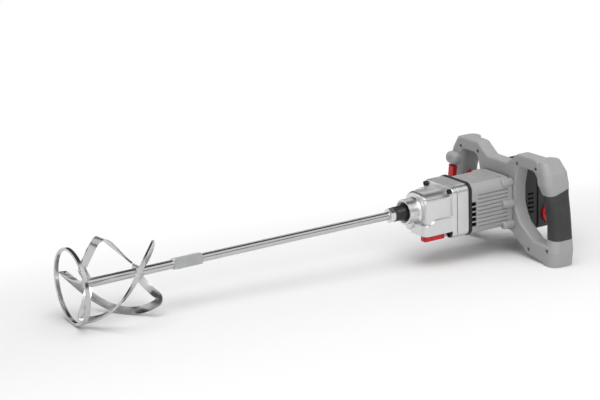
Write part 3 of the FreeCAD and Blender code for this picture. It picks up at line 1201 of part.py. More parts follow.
def armature_group():
    """Armature shaft with its pinion, fan, core, winding heads and commutator, and its bearings."""
    low = -s.motor_drop
    start = wheel_x - s.face_gap
    pinion = s.wheel_wide + 2 * s.face_gap
    front = motor_bearing_x - start
    body = front + s.motor_bearing_wide + s.face_gap
    back = rear_bearing_x - s.face_gap - start
    end = rear_bearing_x + s.motor_bearing_wide - start
    keep(turned("armature_shaft", ((0, 0), (end, 0), (end, s.shaft_radius), (back, s.shaft_radius),
                                   (back, s.shaft_body), (body, s.shaft_body), (body, s.shaft_radius),
                                   (pinion + s.face_gap, s.shaft_radius), (pinion + s.face_gap,
                                                                           s.pinion_seat),
                                   (0, s.pinion_seat)), start, 0, low), "armature_shaft")
    shape = gear(s.drive_pinion_teeth.value, s.wheel_module.value, s.tooth_shift.value, pinion.value,
                 s.pinion_seat.value + s.fit_gap.value, motor_to_lay + math.pi / s.drive_pinion_teeth.value)
    shape.translate(Vector(start.value, 0, low.value))
    keep(made("drive_pinion", shape), "drive_pinion")
    hold = s.shaft_body + s.fit_gap
    keep(ring("armature_core", hold, s.core_radius, s.core_length, stator_x, 0, low), "armature_core")
    heads = [ring("winding_%s" % name, hold, s.winding_radius, s.winding_length, x, 0, low)
             for name, x in (("front", stator_x - s.winding_length), ("rear", stator_end))]
    group = doc.addObject("Part::Compound", "armature_winding")
    group.Links = heads
    keep(group, "armature_winding")
    keep(ring("commutator", hold, s.commutator_radius, s.commutator_length, commutator_x, 0, low),
         "commutator")

    fan_x = plate_end.value + 2 * s.face_gap.value
    hub = s.shaft_body.value + 2 * s.guide_wall.value
    fan = drum(hub, fan_x, fan_x + s.fan_wide.value, 0, low.value)
    fan = fan.fuse(drum(s.fan_radius.value, fan_x + s.fan_wide.value - s.guide_wall.value,
                        fan_x + s.fan_wide.value, 0, low.value))
    blade = Part.makeBox(s.fan_wide.value - 1, s.guide_wall.value, s.fan_radius.value - hub,
                         Vector(fan_x + 0.5, -s.guide_wall.value / 2, low.value + hub - 0.5))
    axis = Vector(0, 0, low.value)
    blades = []
    for i in range(int(s.fan_blades.value)):
        one = blade.copy()
        one.rotate(axis, Vector(1, 0, 0), 360.0 * i / int(s.fan_blades.value))
        blades.append(one)
    fan = fan.fuse(blades).cut(drum(s.shaft_body.value + s.fit_gap.value, fan_x - 1,
                                    fan_x + s.fan_wide.value + 1,
                                    0, low.value))
    keep(made("fan", fan.removeSplitter()), "fan")
    for label, x in (("armature_front_bearing", motor_bearing_x),
                     ("armature_rear_bearing", rear_bearing_x)):
        keep(ring(label, s.shaft_radius + s.run_gap, motor_bearing_outer, s.motor_bearing_wide, x, 0, low),
             label)


def stator_group():
    """Stator core with two field coils in its slots, brush holders and carbon brushes."""
    low = -s.motor_drop.value
    inner = s.core_radius.value + s.air_gap.value
    outer = inner + s.stator_wall.value
    x, end = stator_x.value, stator_end.value
    core = drum(outer, x, end, 0, low).cut(drum(inner, x - 1, end + 1, 0, low))
    coil_in = inner + s.free_gap.value + 1.5
    coil_out = coil_in + s.coil_thick.value
    coils = []
    head = s.coil_head.value

    def sector(r_in, r_out, x_from, x_to, start, sweep):
        tube = drum(r_out, x_from, x_to, 0, low).cut(drum(r_in, x_from - 1, x_to + 1, 0, low))
        wedge = Part.makeCylinder(r_out * 2, x_to - x_from + 2, Vector(x_from - 1, 0, low), Vector(1, 0, 0),
                                  sweep)
        wedge.rotate(Vector(0, 0, low), Vector(1, 0, 0), start)
        return tube.common(wedge)

    for middle in (0, 180):
        parts = []
        for start in (middle + 44, middle - 60):
            parts.append(sector(coil_in, coil_out, x - head, end + head, start, 16))
            core = core.cut(sector(coil_in - 3, coil_out + s.fit_gap.value, x - 1, end + 1, start - 0.3,
                                   16.6))
        for x_from, x_to in ((x - head, x - s.face_gap.value), (end + s.face_gap.value, end + head)):
            parts.append(sector(coil_in, coil_out, x_from, x_to, middle - 60, 120))
        coils.append(parts[0].fuse(parts[1:]).removeSplitter())
    keep(made("stator_core", core), "stator_core")
    keep(made("field_coils", Part.makeCompound(coils)), "field_coils")

    side, wall = s.brush_side.value, s.holder_wall.value
    brush_x = commutator_x.value + s.commutator_length.value / 2 - side / 2
    start = s.commutator_radius.value + s.run_gap.value
    brush = Part.makeBox(side, s.brush_long.value, side, Vector(brush_x, start, low - side / 2))
    holder_start = start + 2 * wall
    bore = s.waist_half.value - s.bore_wall.value - s.fit_gap.value
    long = math.sqrt(bore ** 2 - (side / 2 + wall) ** 2) - holder_start
    holder = Part.makeBox(side + 2 * wall, long, side + 2 * wall,
                          Vector(brush_x - wall, holder_start, low - side / 2 - wall))
    fit = s.fit_gap.value
    holder = holder.cut(Part.makeBox(side + 2 * fit, long, side + 2 * fit,
                                     Vector(brush_x - fit, holder_start - wall, low - side / 2 - fit)))
    keep(made("brushes", Part.makeCompound([brush, mirrored(brush)])), "brushes")
    keep(made("brush_holders", Part.makeCompound([holder, mirrored(holder)])), "brush_holders")


# Handle frame

def grip_y(z):
    """Distance of the grip axis from the middle plane at a height."""
    return s.grip_side.value - z * math.tan(math.radians(s.grip_lean.value))


def grip_wire(z, half, front, back, shift=0.0):
    """Rounded section of a grip at a height: half width, front and back measured from the frame's front."""
    soft = min(s.grip_round.value, half - 0.6)
    middle = grip_y(z) + shift
    corners = ((middle - half, frame_x.value + front), (middle + half, frame_x.value + front),
               (middle + half, frame_x.value + back), (middle - half, frame_x.value + back))
    flat = rounded([(y, x, soft) for y, x in corners], 0)
    matrix = FreeCAD.Matrix(0, 0, 1, 0, 0, 1, 0, 0, 1, 0, 0, z, 0, 0, 0, 1)
    return flat.transformGeometry(matrix)


def grip_solid(inset, waist=0.0):
    """The leaning grip from shoulder to foot, drawn in by an inset, with a hollow waist in its front."""
    half, deep = s.grip_half.value, s.grip_deep.value
    up, down = s.arm_up.value, s.foot_down.value
    stations = ((up - 4, half - 2, 2, deep - 4, -8), (up * 0.7, half + 1, 0, deep + 2, -3),
                (up * 0.45, half + 1.5, -1, deep + 2, -1), (18, half, waist * 0.6, deep, 0),
                (-down * 0.15, half, waist, deep, 0), (-down * 0.35, half - 0.5, waist, deep - 0.5, 0),
                (-s.sleeve_low.value, half - 1, 1 + waist * 0.5, deep - 1, 0),
                (-down * 0.75, half, -1, deep, -2.5),
                (-down, half + 0.5, -1, deep - 1, -9))
    wires = [grip_wire(z, h - inset, front + inset, back - inset, shift) for z, h, front, back,
             shift in stations]
    return Part.makeLoft(wires, True, True)


def sleeve_zone(top):
    """Space of a rubber sleeve, between its level foot and its sloping top edge."""
    slope = math.tan(math.radians(s.sleeve_slope.value))
    x, deep = frame_x.value - 20, s.grip_deep.value + 40
    low = -s.sleeve_low.value
    high = [Vector(x, 0, low), Vector(x, 0, top - 20 * slope),
            Vector(x + deep, 0, top + (deep - 20) * slope), Vector(x + deep, 0, low)]
    face = Part.Face(Part.makePolygon(high + high[:1]))
    return face.extrude(Vector(0, 2 * s.grip_side.value, 0))


def in_grip(shape):
    """A shape drawn upright about the far grip's middle, leaned and moved to the grip."""
    shape.rotate(Vector(), Vector(1, 0, 0), s.grip_lean.value)
    shape.translate(Vector(frame_x.value, s.grip_side.value, 0))
    return shape


def upright_box(x, y_half, z_from, z_to, long):
    """A box centred on the grip's middle plane."""
    return Part.makeBox(long, 2 * y_half, z_to - z_from, Vector(x, -y_half, z_from))


trigger_end = s.trigger_deep - s.trigger_reach
switch_x = trigger_end + s.trigger_travel + s.switch_gap


def arm_corners():
    """Outline of the frame's waist and arms on the far side, as (y, z, radius)."""
    arm_low = s.arm_up.value - s.arm_high.value
    waist, foot = s.waist_half.value, -s.foot_down.value
    leg = s.leg_thick.value
    return [(s.arm_in.value / 2, s.waist_up.value, 12), (s.arm_in.value, s.arm_up.value, 14),
            (s.arm_out.value, s.arm_up.value, 10), (grip_y(40), 40, 3), (grip_y(34) - 8, 34, 2),
            (s.arm_out.value - 9, arm_low, 15), (waist + 8, arm_low, 14), (waist, 18, 25), (waist, -14, 25),
            (waist + 14, -42, 20), (waist + 50, foot + 8 + leg, 12), (grip_y(-70), foot + 6 + leg, 2),
            (grip_y(-88), foot + 14, 3), (grip_y(-96) - 14, foot + 1, 6),
            (waist + 32, foot + 9, 12), (waist + 16, foot + 19, 12), (waist - 12, -s.waist_down.value, 14)]


def frame_screw_spots():
    """Places of the frame screws on the far side."""
    lift = s.arm_up.value - s.arm_high.value * 0.78
    low = -s.foot_down.value
    return ((s.arm_in.value, lift), (s.arm_out.value - 4, lift), (s.waist_half.value + 37, low + 18),
            (grip_y(low + 26) - 5, low + 26))


def handle_frame():
    """Front and rear shells of the frame, with the two grips, split across the axis."""
    x, end = frame_x.value, frame_end.value
    far = arm_corners()
    near = [(-y, z, r) for y, z, r in reversed(far)]
    plate = slab(far + near, x, end)
    plate = plate.makeFillet(s.frame_round.value, edges_at(plate, x) + edges_at(plate, end))
    bore = s.waist_half.value - s.bore_wall.value
    plate = plate.cut(drum(bore, x - 1, end + 1, 0, -s.motor_drop.value))

    guard_y = grip_y(s.guard_up.value)
    tall = s.guard_high.value / 2
    guard = slab(((guard_y + s.guard_half.value, s.guard_up.value + tall, tall * 0.9),
                  (guard_y + s.guard_half.value, s.guard_up.value - tall, tall * 0.9),
                  (guard_y - s.guard_half.value, s.guard_up.value - tall, tall * 0.9),
                  (guard_y - s.guard_half.value, s.guard_up.value + tall, tall * 0.9)),
                 x - s.guard_reach.value, x + s.grip_deep.value / 2)
    guard = guard.makeFillet(tall * 0.7, edges_at(guard, x - s.guard_reach.value))
    cores, sleeves = [], []
    for top, waist in ((-s.sleeve_top_far.value, 0.0), (s.sleeve_top_near.value, s.near_waist.value)):
        zone = sleeve_zone(top)
        full, core = grip_solid(0.0, waist), grip_solid(s.sleeve_thick.value, waist)
        sleeves.append(full.common(zone).cut(core))
        cores.append(full.cut(zone).fuse(core.common(zone)))
    cores[0] = cores[0].fuse(guard).removeSplitter()

    gap = s.free_gap.value
    half = s.trigger_half.value + gap
    well = in_grip(upright_box(-s.guard_reach.value - 5, half, -s.trigger_down.value - gap,
                               s.trigger_up.value + gap, s.guard_reach.value + 5 + switch_x.value))
    pocket = in_grip(upright_box(0, half + 1, -s.trigger_down.value + 2, s.trigger_up.value - 2,
                                 switch_x.value + s.switch_long.value + 0.5))
    pocket = pocket.common(in_grip(upright_box(switch_x.value - 0.5, 40, -60, 60, 100)))
    cores[0] = cores[0].cut(well).cut(pocket)
    sleeves[0] = sleeves[0].cut(well)
    hole = Part.makeCylinder(s.button_radius.value + s.run_gap.value + 0.1, s.grip_half.value + 10,
                             Vector(s.button_back.value, -s.grip_half.value - 10,
                                    s.button_up.value), Vector(0, 1, 0))
    cores[0] = cores[0].cut(in_grip(hole))
    inlet = drum(s.inlet_radius.value - 2 + s.fit_gap.value, x + s.grip_deep.value - s.inlet_seat.value,
                 x + s.grip_deep.value + 5,
                 grip_y(-s.foot_down.value + 18), -s.foot_down.value + 18)
    cores[0] = cores[0].cut(inlet)
    body = plate.fuse([cores[0], mirrored(cores[1])])
    for spot_y, spot_z in frame_screw_spots():
        for side in (-1, 1):
            y = side * spot_y
            body = body.cut(drum(s.frame_screw.value + s.fit_gap.value, x - 4,
                                 x + s.frame_screw_sunk.value + 2, y, spot_z))
            body = body.cut(drum(s.frame_screw_shank.value + s.fit_gap.value, x,
                                 x + s.frame_screw_sunk.value
                                 + s.frame_screw_long.value - 2, y, spot_z))
    seam = x + s.frame_front.value
    for y, z in boss_spots():
        body = body.cut(drum(s.screw_shank.value + s.fit_gap.value, x - 1, seam, y, z))
        body = body.cut(drum(s.screw_head.value + s.fit_gap.value, seam - s.screw_head_wide.value, seam, y,
                             z))
    big = 600.0
    front = body.cut(Part.makeBox(big, big, big, Vector(seam, -big / 2, -big / 2)))
    rear = body.common(Part.makeBox(big, big, big, Vector(seam, -big / 2, -big / 2)))
    keep(made("frame_front", front.removeSplitter()), "frame_front")
    keep(made("frame_rear", rear.removeSplitter()), "frame_rear")
    keep(made("far_grip_sleeve", sleeves[0]), "far_grip_sleeve")
    keep(made("near_grip_sleeve", mirrored(sleeves[1])), "near_grip_sleeve")


def frame_screws():
    """Eight screws from the front shell into the rear shell."""
    screws = []
    head = s.frame_screw_sunk - 3
    for i, (y, z) in enumerate(frame_screw_spots()):
        for side in (-1, 1):
            screws.append(turned("frame_screw_%d_%s" % (i, "far" if side > 0 else "near"),
                                 ((1, 0), (s.frame_screw_long, 0),
                                  (s.frame_screw_long, s.frame_screw_shank),
                                  (5, s.frame_screw_shank), (5, s.frame_screw), (0, s.frame_screw),
                                  (0, s.frame_screw / 2), (1,
                                                           s.frame_screw / 2)), frame_x + head, side * y, z))
    group = doc.addObject("Part::Compound", "frame_screws")
    group.Links = screws
    keep(group, "frame_screws")


def trigger_group():
    """Trigger with its plunger, the switch block, the lock button and the inlet bush."""
    half = s.trigger_half.value
    body = upright_box(-s.trigger_reach.value, half, -s.trigger_down.value, s.trigger_up.value,
                       s.trigger_deep.value)
    front = [e for e in body.Edges if e.BoundBox.XMax < -s.trigger_reach.value + 0.01]
    body = body.makeFillet(2.5, front)
    middle = (s.trigger_up.value - s.trigger_down.value) / 2
    plunger = Part.makeCylinder(s.plunger_radius.value, trigger_travel_room.value,
                                Vector(trigger_end.value - 1, 0, middle),
                                Vector(1, 0, 0))
    keep(made("trigger", in_grip(body.fuse(plunger).removeSplitter())), "trigger")

    block = upright_box(switch_x.value, half, -s.trigger_down.value + 3, s.trigger_up.value - 3,
                        s.switch_long.value)
    bore = Part.makeCylinder(s.plunger_radius.value + s.run_gap.value,
                             s.plunger_hold.value + s.trigger_travel.value + 2,
                             Vector(switch_x.value - 1, 0, middle), Vector(1, 0, 0))
    keep(made("switch_block", in_grip(block.cut(bore))), "switch_block")

    outer = -s.grip_half.value - s.button_reach.value
    inner = -s.trigger_half.value - s.free_gap.value - 1.5 - s.button_travel.value
    button = Part.makeCylinder(s.button_radius.value, inner - outer,
                               Vector(s.button_back.value, outer, s.button_up.value),
                               Vector(0, 1, 0))
    rim = [e for e in button.Edges if e.BoundBox.YMax < outer + 0.01]
    keep(made("lock_button", in_grip(button.makeFillet(1.5, rim))), "lock_button")

    x = frame_x + s.grip_deep
    y, z = grip_y(-s.foot_down.value + 18), -s.foot_down.value + 18
    neck = s.inlet_radius - 2
    seat = s.inlet_seat
    end = seat + s.inlet_reach
    step = end - s.inlet_hold
    keep(turned("inlet_bush", ((0, s.inlet_room), (step, s.inlet_room), (step, s.inlet_bore),
                               (end, s.inlet_bore),
                               (end, neck), (end - 2, s.inlet_radius), (seat, s.inlet_radius), (seat, neck),
                               (0, neck)), x - seat, y, z), "inlet_bush")


trigger_travel_room = s.trigger_travel + s.switch_gap + s.plunger_hold + 1


# Rear housing, cap and dial

def rear_corners(inset=0.0):
    """Corners of the rear housing's section."""
    return frame_box(s.rear_half.value, s.rear_up.value, s.rear_down.value, s.rear_round.value, inset)


def rear_housing():
    """Black housing behind the frame with the intake slots and the armature's rear bearing."""
    x, end = frame_end.value, rear_end.value
    low = -s.motor_drop.value
    body = slab(rear_corners(), x, end)
    body = body.makeFillet(2.0, edges_at(body, end))
    body = body.cut(slab(rear_corners(s.rear_wall.value), x - 1, end - s.rear_back.value))
    hub = drum(motor_bearing_outer.value + s.rear_wall.value, rear_bearing_x.value - 2, end, 0, low)
    body = body.fuse(hub)
    body = body.cut(drum(motor_bearing_outer.value + s.fit_gap.value, rear_bearing_x.value - 3,
                         rear_bearing_x.value + s.motor_bearing_wide.value, 0, low))
    body = body.cut(drum(s.shaft_radius.value + s.free_gap.value, x, end - s.rear_wall.value, 0, low))
    slot_x = x + (s.rear_length.value - s.intake_long.value) / 2 - 1
    for side in (-1, 1):
        for z in vent_heights(s.intake_count, s.intake_pitch, s.intake_drop):
            body = body.cut(Part.makeBox(s.intake_long.value, 2 * s.rear_wall.value, s.intake_high.value,
                                         Vector(slot_x, side * s.rear_half.value - s.rear_wall.value,
                                                z - s.intake_high.value / 2)))
    for y, z in cap_screw_spots():
        body = body.cut(drum(s.cap_screw.value * 0.6 + s.fit_gap.value, end - s.rear_back.value / 2,
                             end + 1, y, z))
    keep(made("rear_housing", body.removeSplitter()), "rear_housing")


def cap_screw_spots():
    """Places of the cap screws."""
    side, up, low = s.rear_half.value - 9, s.rear_up.value - 9, s.rear_down.value - 9
    return ((side, up), (-side, up), (side, -low), (-side, -low))


def rear_cap():
    """Hollow cap with a groove where it meets the rear housing, and the dial's seat on its near side."""
    x, end = rear_end.value, cap_end.value
    body = slab(rear_corners(), x + s.cap_groove.value, end)
    body = body.makeFillet(s.cap_round.value, edges_at(body, end))
    body = body.makeFillet(1.5, edges_at(body, x + s.cap_groove.value))
    body = body.fuse(slab(rear_corners(s.cap_step.value), x, x + s.cap_groove.value + 1))
    deep = s.rear_wall.value + s.cap_step.value
    room = slab(rear_corners(deep), x - 1, end - s.rear_wall.value * 2)
    room = room.makeFillet(s.cap_round.value - 4, edges_at(room, end - s.rear_wall.value * 2))
    posts = [drum(s.cap_screw.value + s.rear_wall.value, x, end, y, z) for y, z in cap_screw_spots()]
    body = body.cut(room.cut(Part.makeCompound(posts)))
    dial_x, dial_z = x + s.dial_back.value, -s.dial_drop.value
    side = -s.rear_half.value
    seat = Part.makeCylinder(s.dial_radius.value + s.free_gap.value, s.rear_wall.value,
                             Vector(dial_x, side - 1, dial_z), Vector(0, 1, 0))
    shaft = Part.makeCylinder(s.dial_shaft.value + s.run_gap.value, deep + 2,
                              Vector(dial_x, side - 1, dial_z),
                              Vector(0, 1, 0))
    body = body.cut(seat).cut(shaft)
    for y, z in cap_screw_spots():
        body = body.cut(drum(s.cap_screw.value * 0.6 + s.fit_gap.value, x - 1, end, y, z))
        body = body.cut(drum(s.cap_screw.value + s.fit_gap.value, x + s.cap_length.value / 2, end + 1, y,
                             z))
    keep(made("rear_cap", body.removeSplitter()), "rear_cap")

    screws = []
    head = rear_end + s.cap_length / 2 - s.cap_screw
    shank = s.cap_length / 2 - s.cap_screw + s.rear_back / 2 - 1
    thin = s.cap_screw * 0.6
    for i, (y, z) in enumerate(cap_screw_spots()):
        screws.append(turned("cap_screw_%d" % i, ((0, 0), (shank + 2 * s.cap_screw, 0),
                                                  (shank + 2 * s.cap_screw, s.cap_screw),
                                                  (shank + s.cap_screw, s.cap_screw), (shank + s.cap_screw,
                                                                                       thin), (0, thin)),
                             head - shank, y, z))
    group = doc.addObject("Part::Compound", "cap_screws")
    group.Links = screws
    keep(group, "cap_screws")

    knob_y = side - s.dial_reach.value
    disc_in = side - 1 + s.rear_wall.value - s.free_gap.value
    knob = Part.makeCylinder(s.dial_radius.value, disc_in - knob_y, Vector(dial_x, knob_y, dial_z),
                             Vector(0, 1, 0))
    knob = knob.makeFillet(2.0, [e for e in knob.Edges if e.BoundBox.YMax < knob_y + 0.01])
    grip = Part.makeBox(s.dial_radius.value * 1.5, 2.5, 4,
                        Vector(dial_x - s.dial_radius.value * 0.75, knob_y - 2, dial_z - 2))
    stem = Part.makeCylinder(s.dial_shaft.value, deep + 6, Vector(dial_x, disc_in - 1, dial_z),
                             Vector(0, 1, 0))
    keep(made("speed_dial", knob.fuse([stem, grip]).removeSplitter()), "speed_dial")

    block = Part.makeBox(s.module_long.value, 2 * s.dial_radius.value, 2 * s.dial_radius.value - 8,
                         Vector(x + 4, side + deep + 0.2, -s.rear_down.value + deep + 0.2))
    shaft_room = Part.makeCylinder(s.dial_shaft.value + s.run_gap.value, deep + 12,
                                   Vector(dial_x, side, dial_z), Vector(0, 1, 0))
    posts = [drum(s.cap_screw.value + s.rear_wall.value + 0.2, x, end, y, z) for y, z in cap_screw_spots()]
    keep(made("control_module", block.cut(shaft_room).cut(Part.makeCompound(posts))), "control_module")


hoop = stirrer_rods()
doc.recompute()
stirrer_bands(hoop)
spindle_group()
layshaft_group()
selector_group()
gear_housing()
bearing_carrier()
gearbox_plate()
gearbox_screws()
air_guide()
motor_housing()
motor_screws()
damping_ring()
armature_group()
stator_group()
handle_frame()
frame_screws()
trigger_group()
rear_housing()
rear_cap()
doc.recompute()

for thing in doc.Objects:
    if "Invalid" in thing.State or "Error" in thing.State:
        raise RuntimeError("%s did not build" % thing.Label)
broken = [thing.Label for thing in nodes
          if thing.Shape.isNull() or not thing.Shape.isValid() or thing.Shape.Volume <= 0]
if broken:
    raise RuntimeError("no valid solid: " + ", ".join(broken))
os.makedirs("parts", exist_ok=True)
for thing in nodes:
    thing.Shape.exportStep("parts/%s.step" % thing.Label)
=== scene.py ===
import json
import math

import bmesh
import bpy
import numpy as np
from mathutils import Matrix, Vector


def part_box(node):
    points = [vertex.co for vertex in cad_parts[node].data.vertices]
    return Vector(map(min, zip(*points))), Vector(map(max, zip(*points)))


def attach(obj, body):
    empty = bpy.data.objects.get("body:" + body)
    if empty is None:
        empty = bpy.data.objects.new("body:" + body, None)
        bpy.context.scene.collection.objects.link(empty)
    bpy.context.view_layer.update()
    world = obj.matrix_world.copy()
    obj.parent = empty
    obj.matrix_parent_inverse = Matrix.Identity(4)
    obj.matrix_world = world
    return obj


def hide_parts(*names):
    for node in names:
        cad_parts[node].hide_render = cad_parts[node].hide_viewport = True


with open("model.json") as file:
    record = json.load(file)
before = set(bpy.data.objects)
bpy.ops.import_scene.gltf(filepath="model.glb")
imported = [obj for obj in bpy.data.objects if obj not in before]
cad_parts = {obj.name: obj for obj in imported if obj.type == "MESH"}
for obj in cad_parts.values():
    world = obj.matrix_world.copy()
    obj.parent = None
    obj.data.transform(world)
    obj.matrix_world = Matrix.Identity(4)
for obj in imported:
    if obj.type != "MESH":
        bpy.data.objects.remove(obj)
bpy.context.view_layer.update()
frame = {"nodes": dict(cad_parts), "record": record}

bl_info = {
    "name": "Mixing drill",
    "version": (1, 0, 0),
    "blender": (4, 5, 0),
    "location": "View3D > Sidebar > Mixing drill",
    "description": "Dresses the packed mixing drill with its finishes and turned details, "
                   "and sets up its studio",
    "category": "Object",
}

NODES = frame["nodes"]
SLOTS = {row["node"]: row["material_slot"] for row in frame["record"]["subparts"]}
MM = 0.001
FULL_TURN = 2.0 * np.pi

# Points nearer than this are one point, and edges shorter than this are dropped
WELD = 1e-7
SLIVER = 1e-8

# Fixed sizes of the turned pieces, those of the solids that they replace
BORE = 6.25 * MM
BORE_DEPTH = 21.0 * MM
NOSE_CHAMFER = 1.5 * MM
THREAD_START = 2.0 * MM
THREAD_END = 20.0 * MM
SEAT_RADIUS = 8.5 * MM
SHAFT_RADIUS = 8.0 * MM
TAIL_RADIUS = 6.0 * MM
SEAT_SPARE = 1.0 * MM
TAIL_SPARE = 0.5 * MM
GASKET_SPARE = 0.1 * MM

# Lamps: place, side, share of the key's power, seen by polished surfaces, seen by matt ones
LAMPS = {
    "key": ((-0.25, -0.25, 1.9), 2.0, 1.0, False, True),
    "fill": ((-0.1, -2.3, 0.8), 2.0, 0.70, False, True),
    "rim": ((1.2, 1.4, 1.3), 1.4, 0.15, True, True),
    "shine": ((-0.75, -1.25, 1.55), 1.1, 0.55, True, False),
}
LAMP_AIM = (0.05, 0.0, 0.0)

# Dark cards: middle, width and height
FLAGS = {
    "flag_back": ((1.0, 2.2, 1.2), 4.0, 2.2),
    "flag_over": ((0.4, 1.0, 2.2), 4.4, 3.0),
    "flag_front": ((0.9, -2.7, 0.75), 2.8, 0.8),
    "flag_left": ((-3.0, -0.6, 1.3), 2.4, 1.2),
}
FLAG_GREY = (0.03, 0.03, 0.03, 1.0)

# Glow of the sky from straight down, 0, over the horizon, 0.5, to straight up, 1
SKY_STOPS = ((0.0, 0.5), (0.42, 0.22), (0.48, 0.05), (0.56, 0.05), (0.62, 0.30), (0.74, 0.75),
             (1.0, 1.0))
WHITE = (1.0, 1.0, 1.0, 1.0)

FLOOR_REACH = 6.0
FLOOR_GAP = 0.5 * MM
SHADOW_PLACE = (0.085, 0.0, 0.0)
SHADOW_SCALE = (0.55, 2.0, 0.0)
SHADOW_START = 0.12
SHADOW_END = 0.36

SENSOR_WIDTH = 36.0
CLIP_END = 50.0


# Shader maths

class Term:
    """One shader socket in a sum: each operator adds the Math node that works it out."""

    def __init__(self, nodes, socket):
        self.nodes = nodes
        self.socket = socket

    def maths(self, operation, first, second):
        return self.nodes.node("ShaderNodeMath", {"operation": operation}, {0: first, 1: second})

    def __add__(self, other):
        return self.maths("ADD", self, other)

    def __sub__(self, other):
        return self.maths("SUBTRACT", self, other)

    def __rsub__(self, other):
        return self.maths("SUBTRACT", other, self)

    def __mul__(self, other):
        return self.maths("MULTIPLY", self, other)

    def at_most(self, other):
        return self.maths("MINIMUM", self, other)

    def at_least(self, other):
        return self.maths("MAXIMUM", self, other)

    __radd__ = __add__
    __rmul__ = __mul__


class Nodes:
    """A node tree that is filled by asking for one node at a time."""

    def __init__(self, tree):
        self.tree = tree

    def node(self, kind, settings=None, links=None, out=0):
        """Makes a node, sets its settings and then its sockets, and gives an output as a Term."""
        made = self.tree.nodes.new(kind)
        for key, value in (settings or {}).items():
            if key == "stops":
                self.fill_ramp(made.color_ramp, value)
            else:
                setattr(made, key, value)
        for key, value in (links or {}).items():
            if isinstance(value, Term):
                self.tree.links.new(value.socket, made.inputs[key])
            else:
                made.inputs[key].default_value = value
        return Term(self, made.outputs[out]) if made.outputs else None

    @staticmethod
    def fill_ramp(ramp, stops):
        """Gives a colour ramp these (position, grey) stops."""
        while len(ramp.elements) < len(stops):
            ramp.elements.new(1.0)
        for element, (position, grey) in zip(ramp.elements, stops):
            element.position = position
            element.color = (grey, grey, grey, 1.0)

    def ramp(self, value, *stops):
        """Grey that follows a value from stop to stop."""
        return self.node("ShaderNodeValToRGB", {"stops": stops}, {0: value})

    def mix(self, factor, first, second):
        """Colour that goes from first to second as the factor goes from 0 to 1."""
        return self.node("ShaderNodeMix", {"data_type": "RGBA"},
                         {0: factor, 6: first, 7: second}, 2)

    def mix_shaders(self, factor, first, second):
        """Shader that goes from first to second as the factor goes from 0 to 1."""
        return self.node("ShaderNodeMixShader", None, {0: factor, 1: first, 2: second})


class Finish(Nodes):
    """A procedural material round one Principled shader, drawn on Object coordinates."""

    def __init__(self, name, **constants):
        self.material = bpy.data.materials.new(name)
        self.material.use_nodes = True
        super().__init__(self.material.node_tree)
        self.shader = self.tree.nodes["Principled BSDF"]
        self.place = self.node("ShaderNodeTexCoord", out="Object")
        for key, value in constants.items():
            self.set(key.replace("_", " "), value)

    def set(self, key, value):
        """Sets a number or colour on the shader's own socket, or links a Term to it."""
        if isinstance(value, Term):
            self.tree.links.new(value.socket, self.shader.inputs[key])
        else:
            self.shader.inputs[key].default_value = value

    def spot(self, stretch):
        """Object coordinates, drawn out along an axis where its stretch is under 1."""
        if stretch is None:
            return self.place
        return self.node("ShaderNodeMapping", {"vector_type": "POINT"},
                         {"Vector": self.place, "Scale": stretch})

    def noise(self, per_metre, detail=3.0, rough=0.55, stretch=None):
        """Clouds from 0 to 1, about so many to the metre."""
        return self.node("ShaderNodeTexNoise", None,
                         {"Vector": self.spot(stretch), "Scale": per_metre, "Detail": detail,
                          "Roughness": rough})

    def cells(self, per_metre):
        """Distance from the middle of the nearest of scattered cells."""
        return self.node("ShaderNodeTexVoronoi", {"feature": "F1"},
                         {"Vector": self.place, "Scale": per_metre}, "Distance")

    def soft_edge(self, radius):
        """Normal of the surface with its edges rounded off by a radius."""
        return self.node("ShaderNodeBevel", {"samples": 6}, {"Radius": radius})

    def edge_mask(self, radius, gain):
        """Mask that rises to 1 along edges: how far the rounded normal turns from the plain one."""
        plain = self.node("ShaderNodeNewGeometry", out="Normal")
        meet = self.node("ShaderNodeVectorMath", {"operation": "DOT_PRODUCT"},
                         {0: self.soft_edge(radius), 1: plain}, "Value")
        return ((1.0 - meet) * gain).at_most(1.0).at_least(0.0)

    def relief(self, height, depth, edge=0.0):
        """Bumps the surface by a height field of that depth in metres, over rounded edges."""
        links = {"Height": height, "Strength": 1.0, "Distance": depth}
        if edge:
            links["Normal"] = self.soft_edge(edge)
        self.set("Normal", self.node("ShaderNodeBump", None, links))


def shade(colour, factor):
    """A colour made lighter or darker, with its alpha."""
    return tuple(min(1.0, c * factor) for c in colour[:3]) + (1.0,)


# Finishes

def metal(name, colour, smooth, spread, grain, depth, edge, stretch=None):
    """Bare metal: roughness = cloud x lines x twice the spread + smooth, lines along an axis."""
    finish = Finish(name, Metallic=1.0)
    cloud = finish.noise(35.0, detail=4.0)
    lines = finish.noise(grain, detail=5.0, rough=0.6, stretch=stretch)
    dull, bright = shade(colour, 0.9), shade(colour, 1.04)
    finish.set("Base Color", finish.mix(cloud, dull, bright))
    finish.set("Roughness", cloud * lines * (2.0 * spread) + smooth)
    finish.relief(lines, depth, edge)
    return finish.material


def cast_metal(name, colour, smooth, depth, edge):
    """Blasted casting: fine pits, brighter rubbed edges and a slow change of sheen."""
    finish = Finish(name, Metallic=1.0)
    cloud = finish.noise(28.0, detail=4.0)
    pits = finish.noise(1500.0, detail=4.0, rough=0.6)
    edge_share = finish.edge_mask(1.2 * MM, gain=3.0)
    dull, plain, bright = shade(colour, 0.86), shade(colour, 1.05), shade(colour, 1.15)
    base = finish.mix(cloud * 0.6 + pits * 0.4, dull, plain)
    finish.set("Base Color", finish.mix(edge_share * 0.5, base, bright))
    finish.set("Roughness", smooth + cloud * 0.12 - edge_share * 0.06)
    finish.relief(pits, depth, edge)
    return finish.material


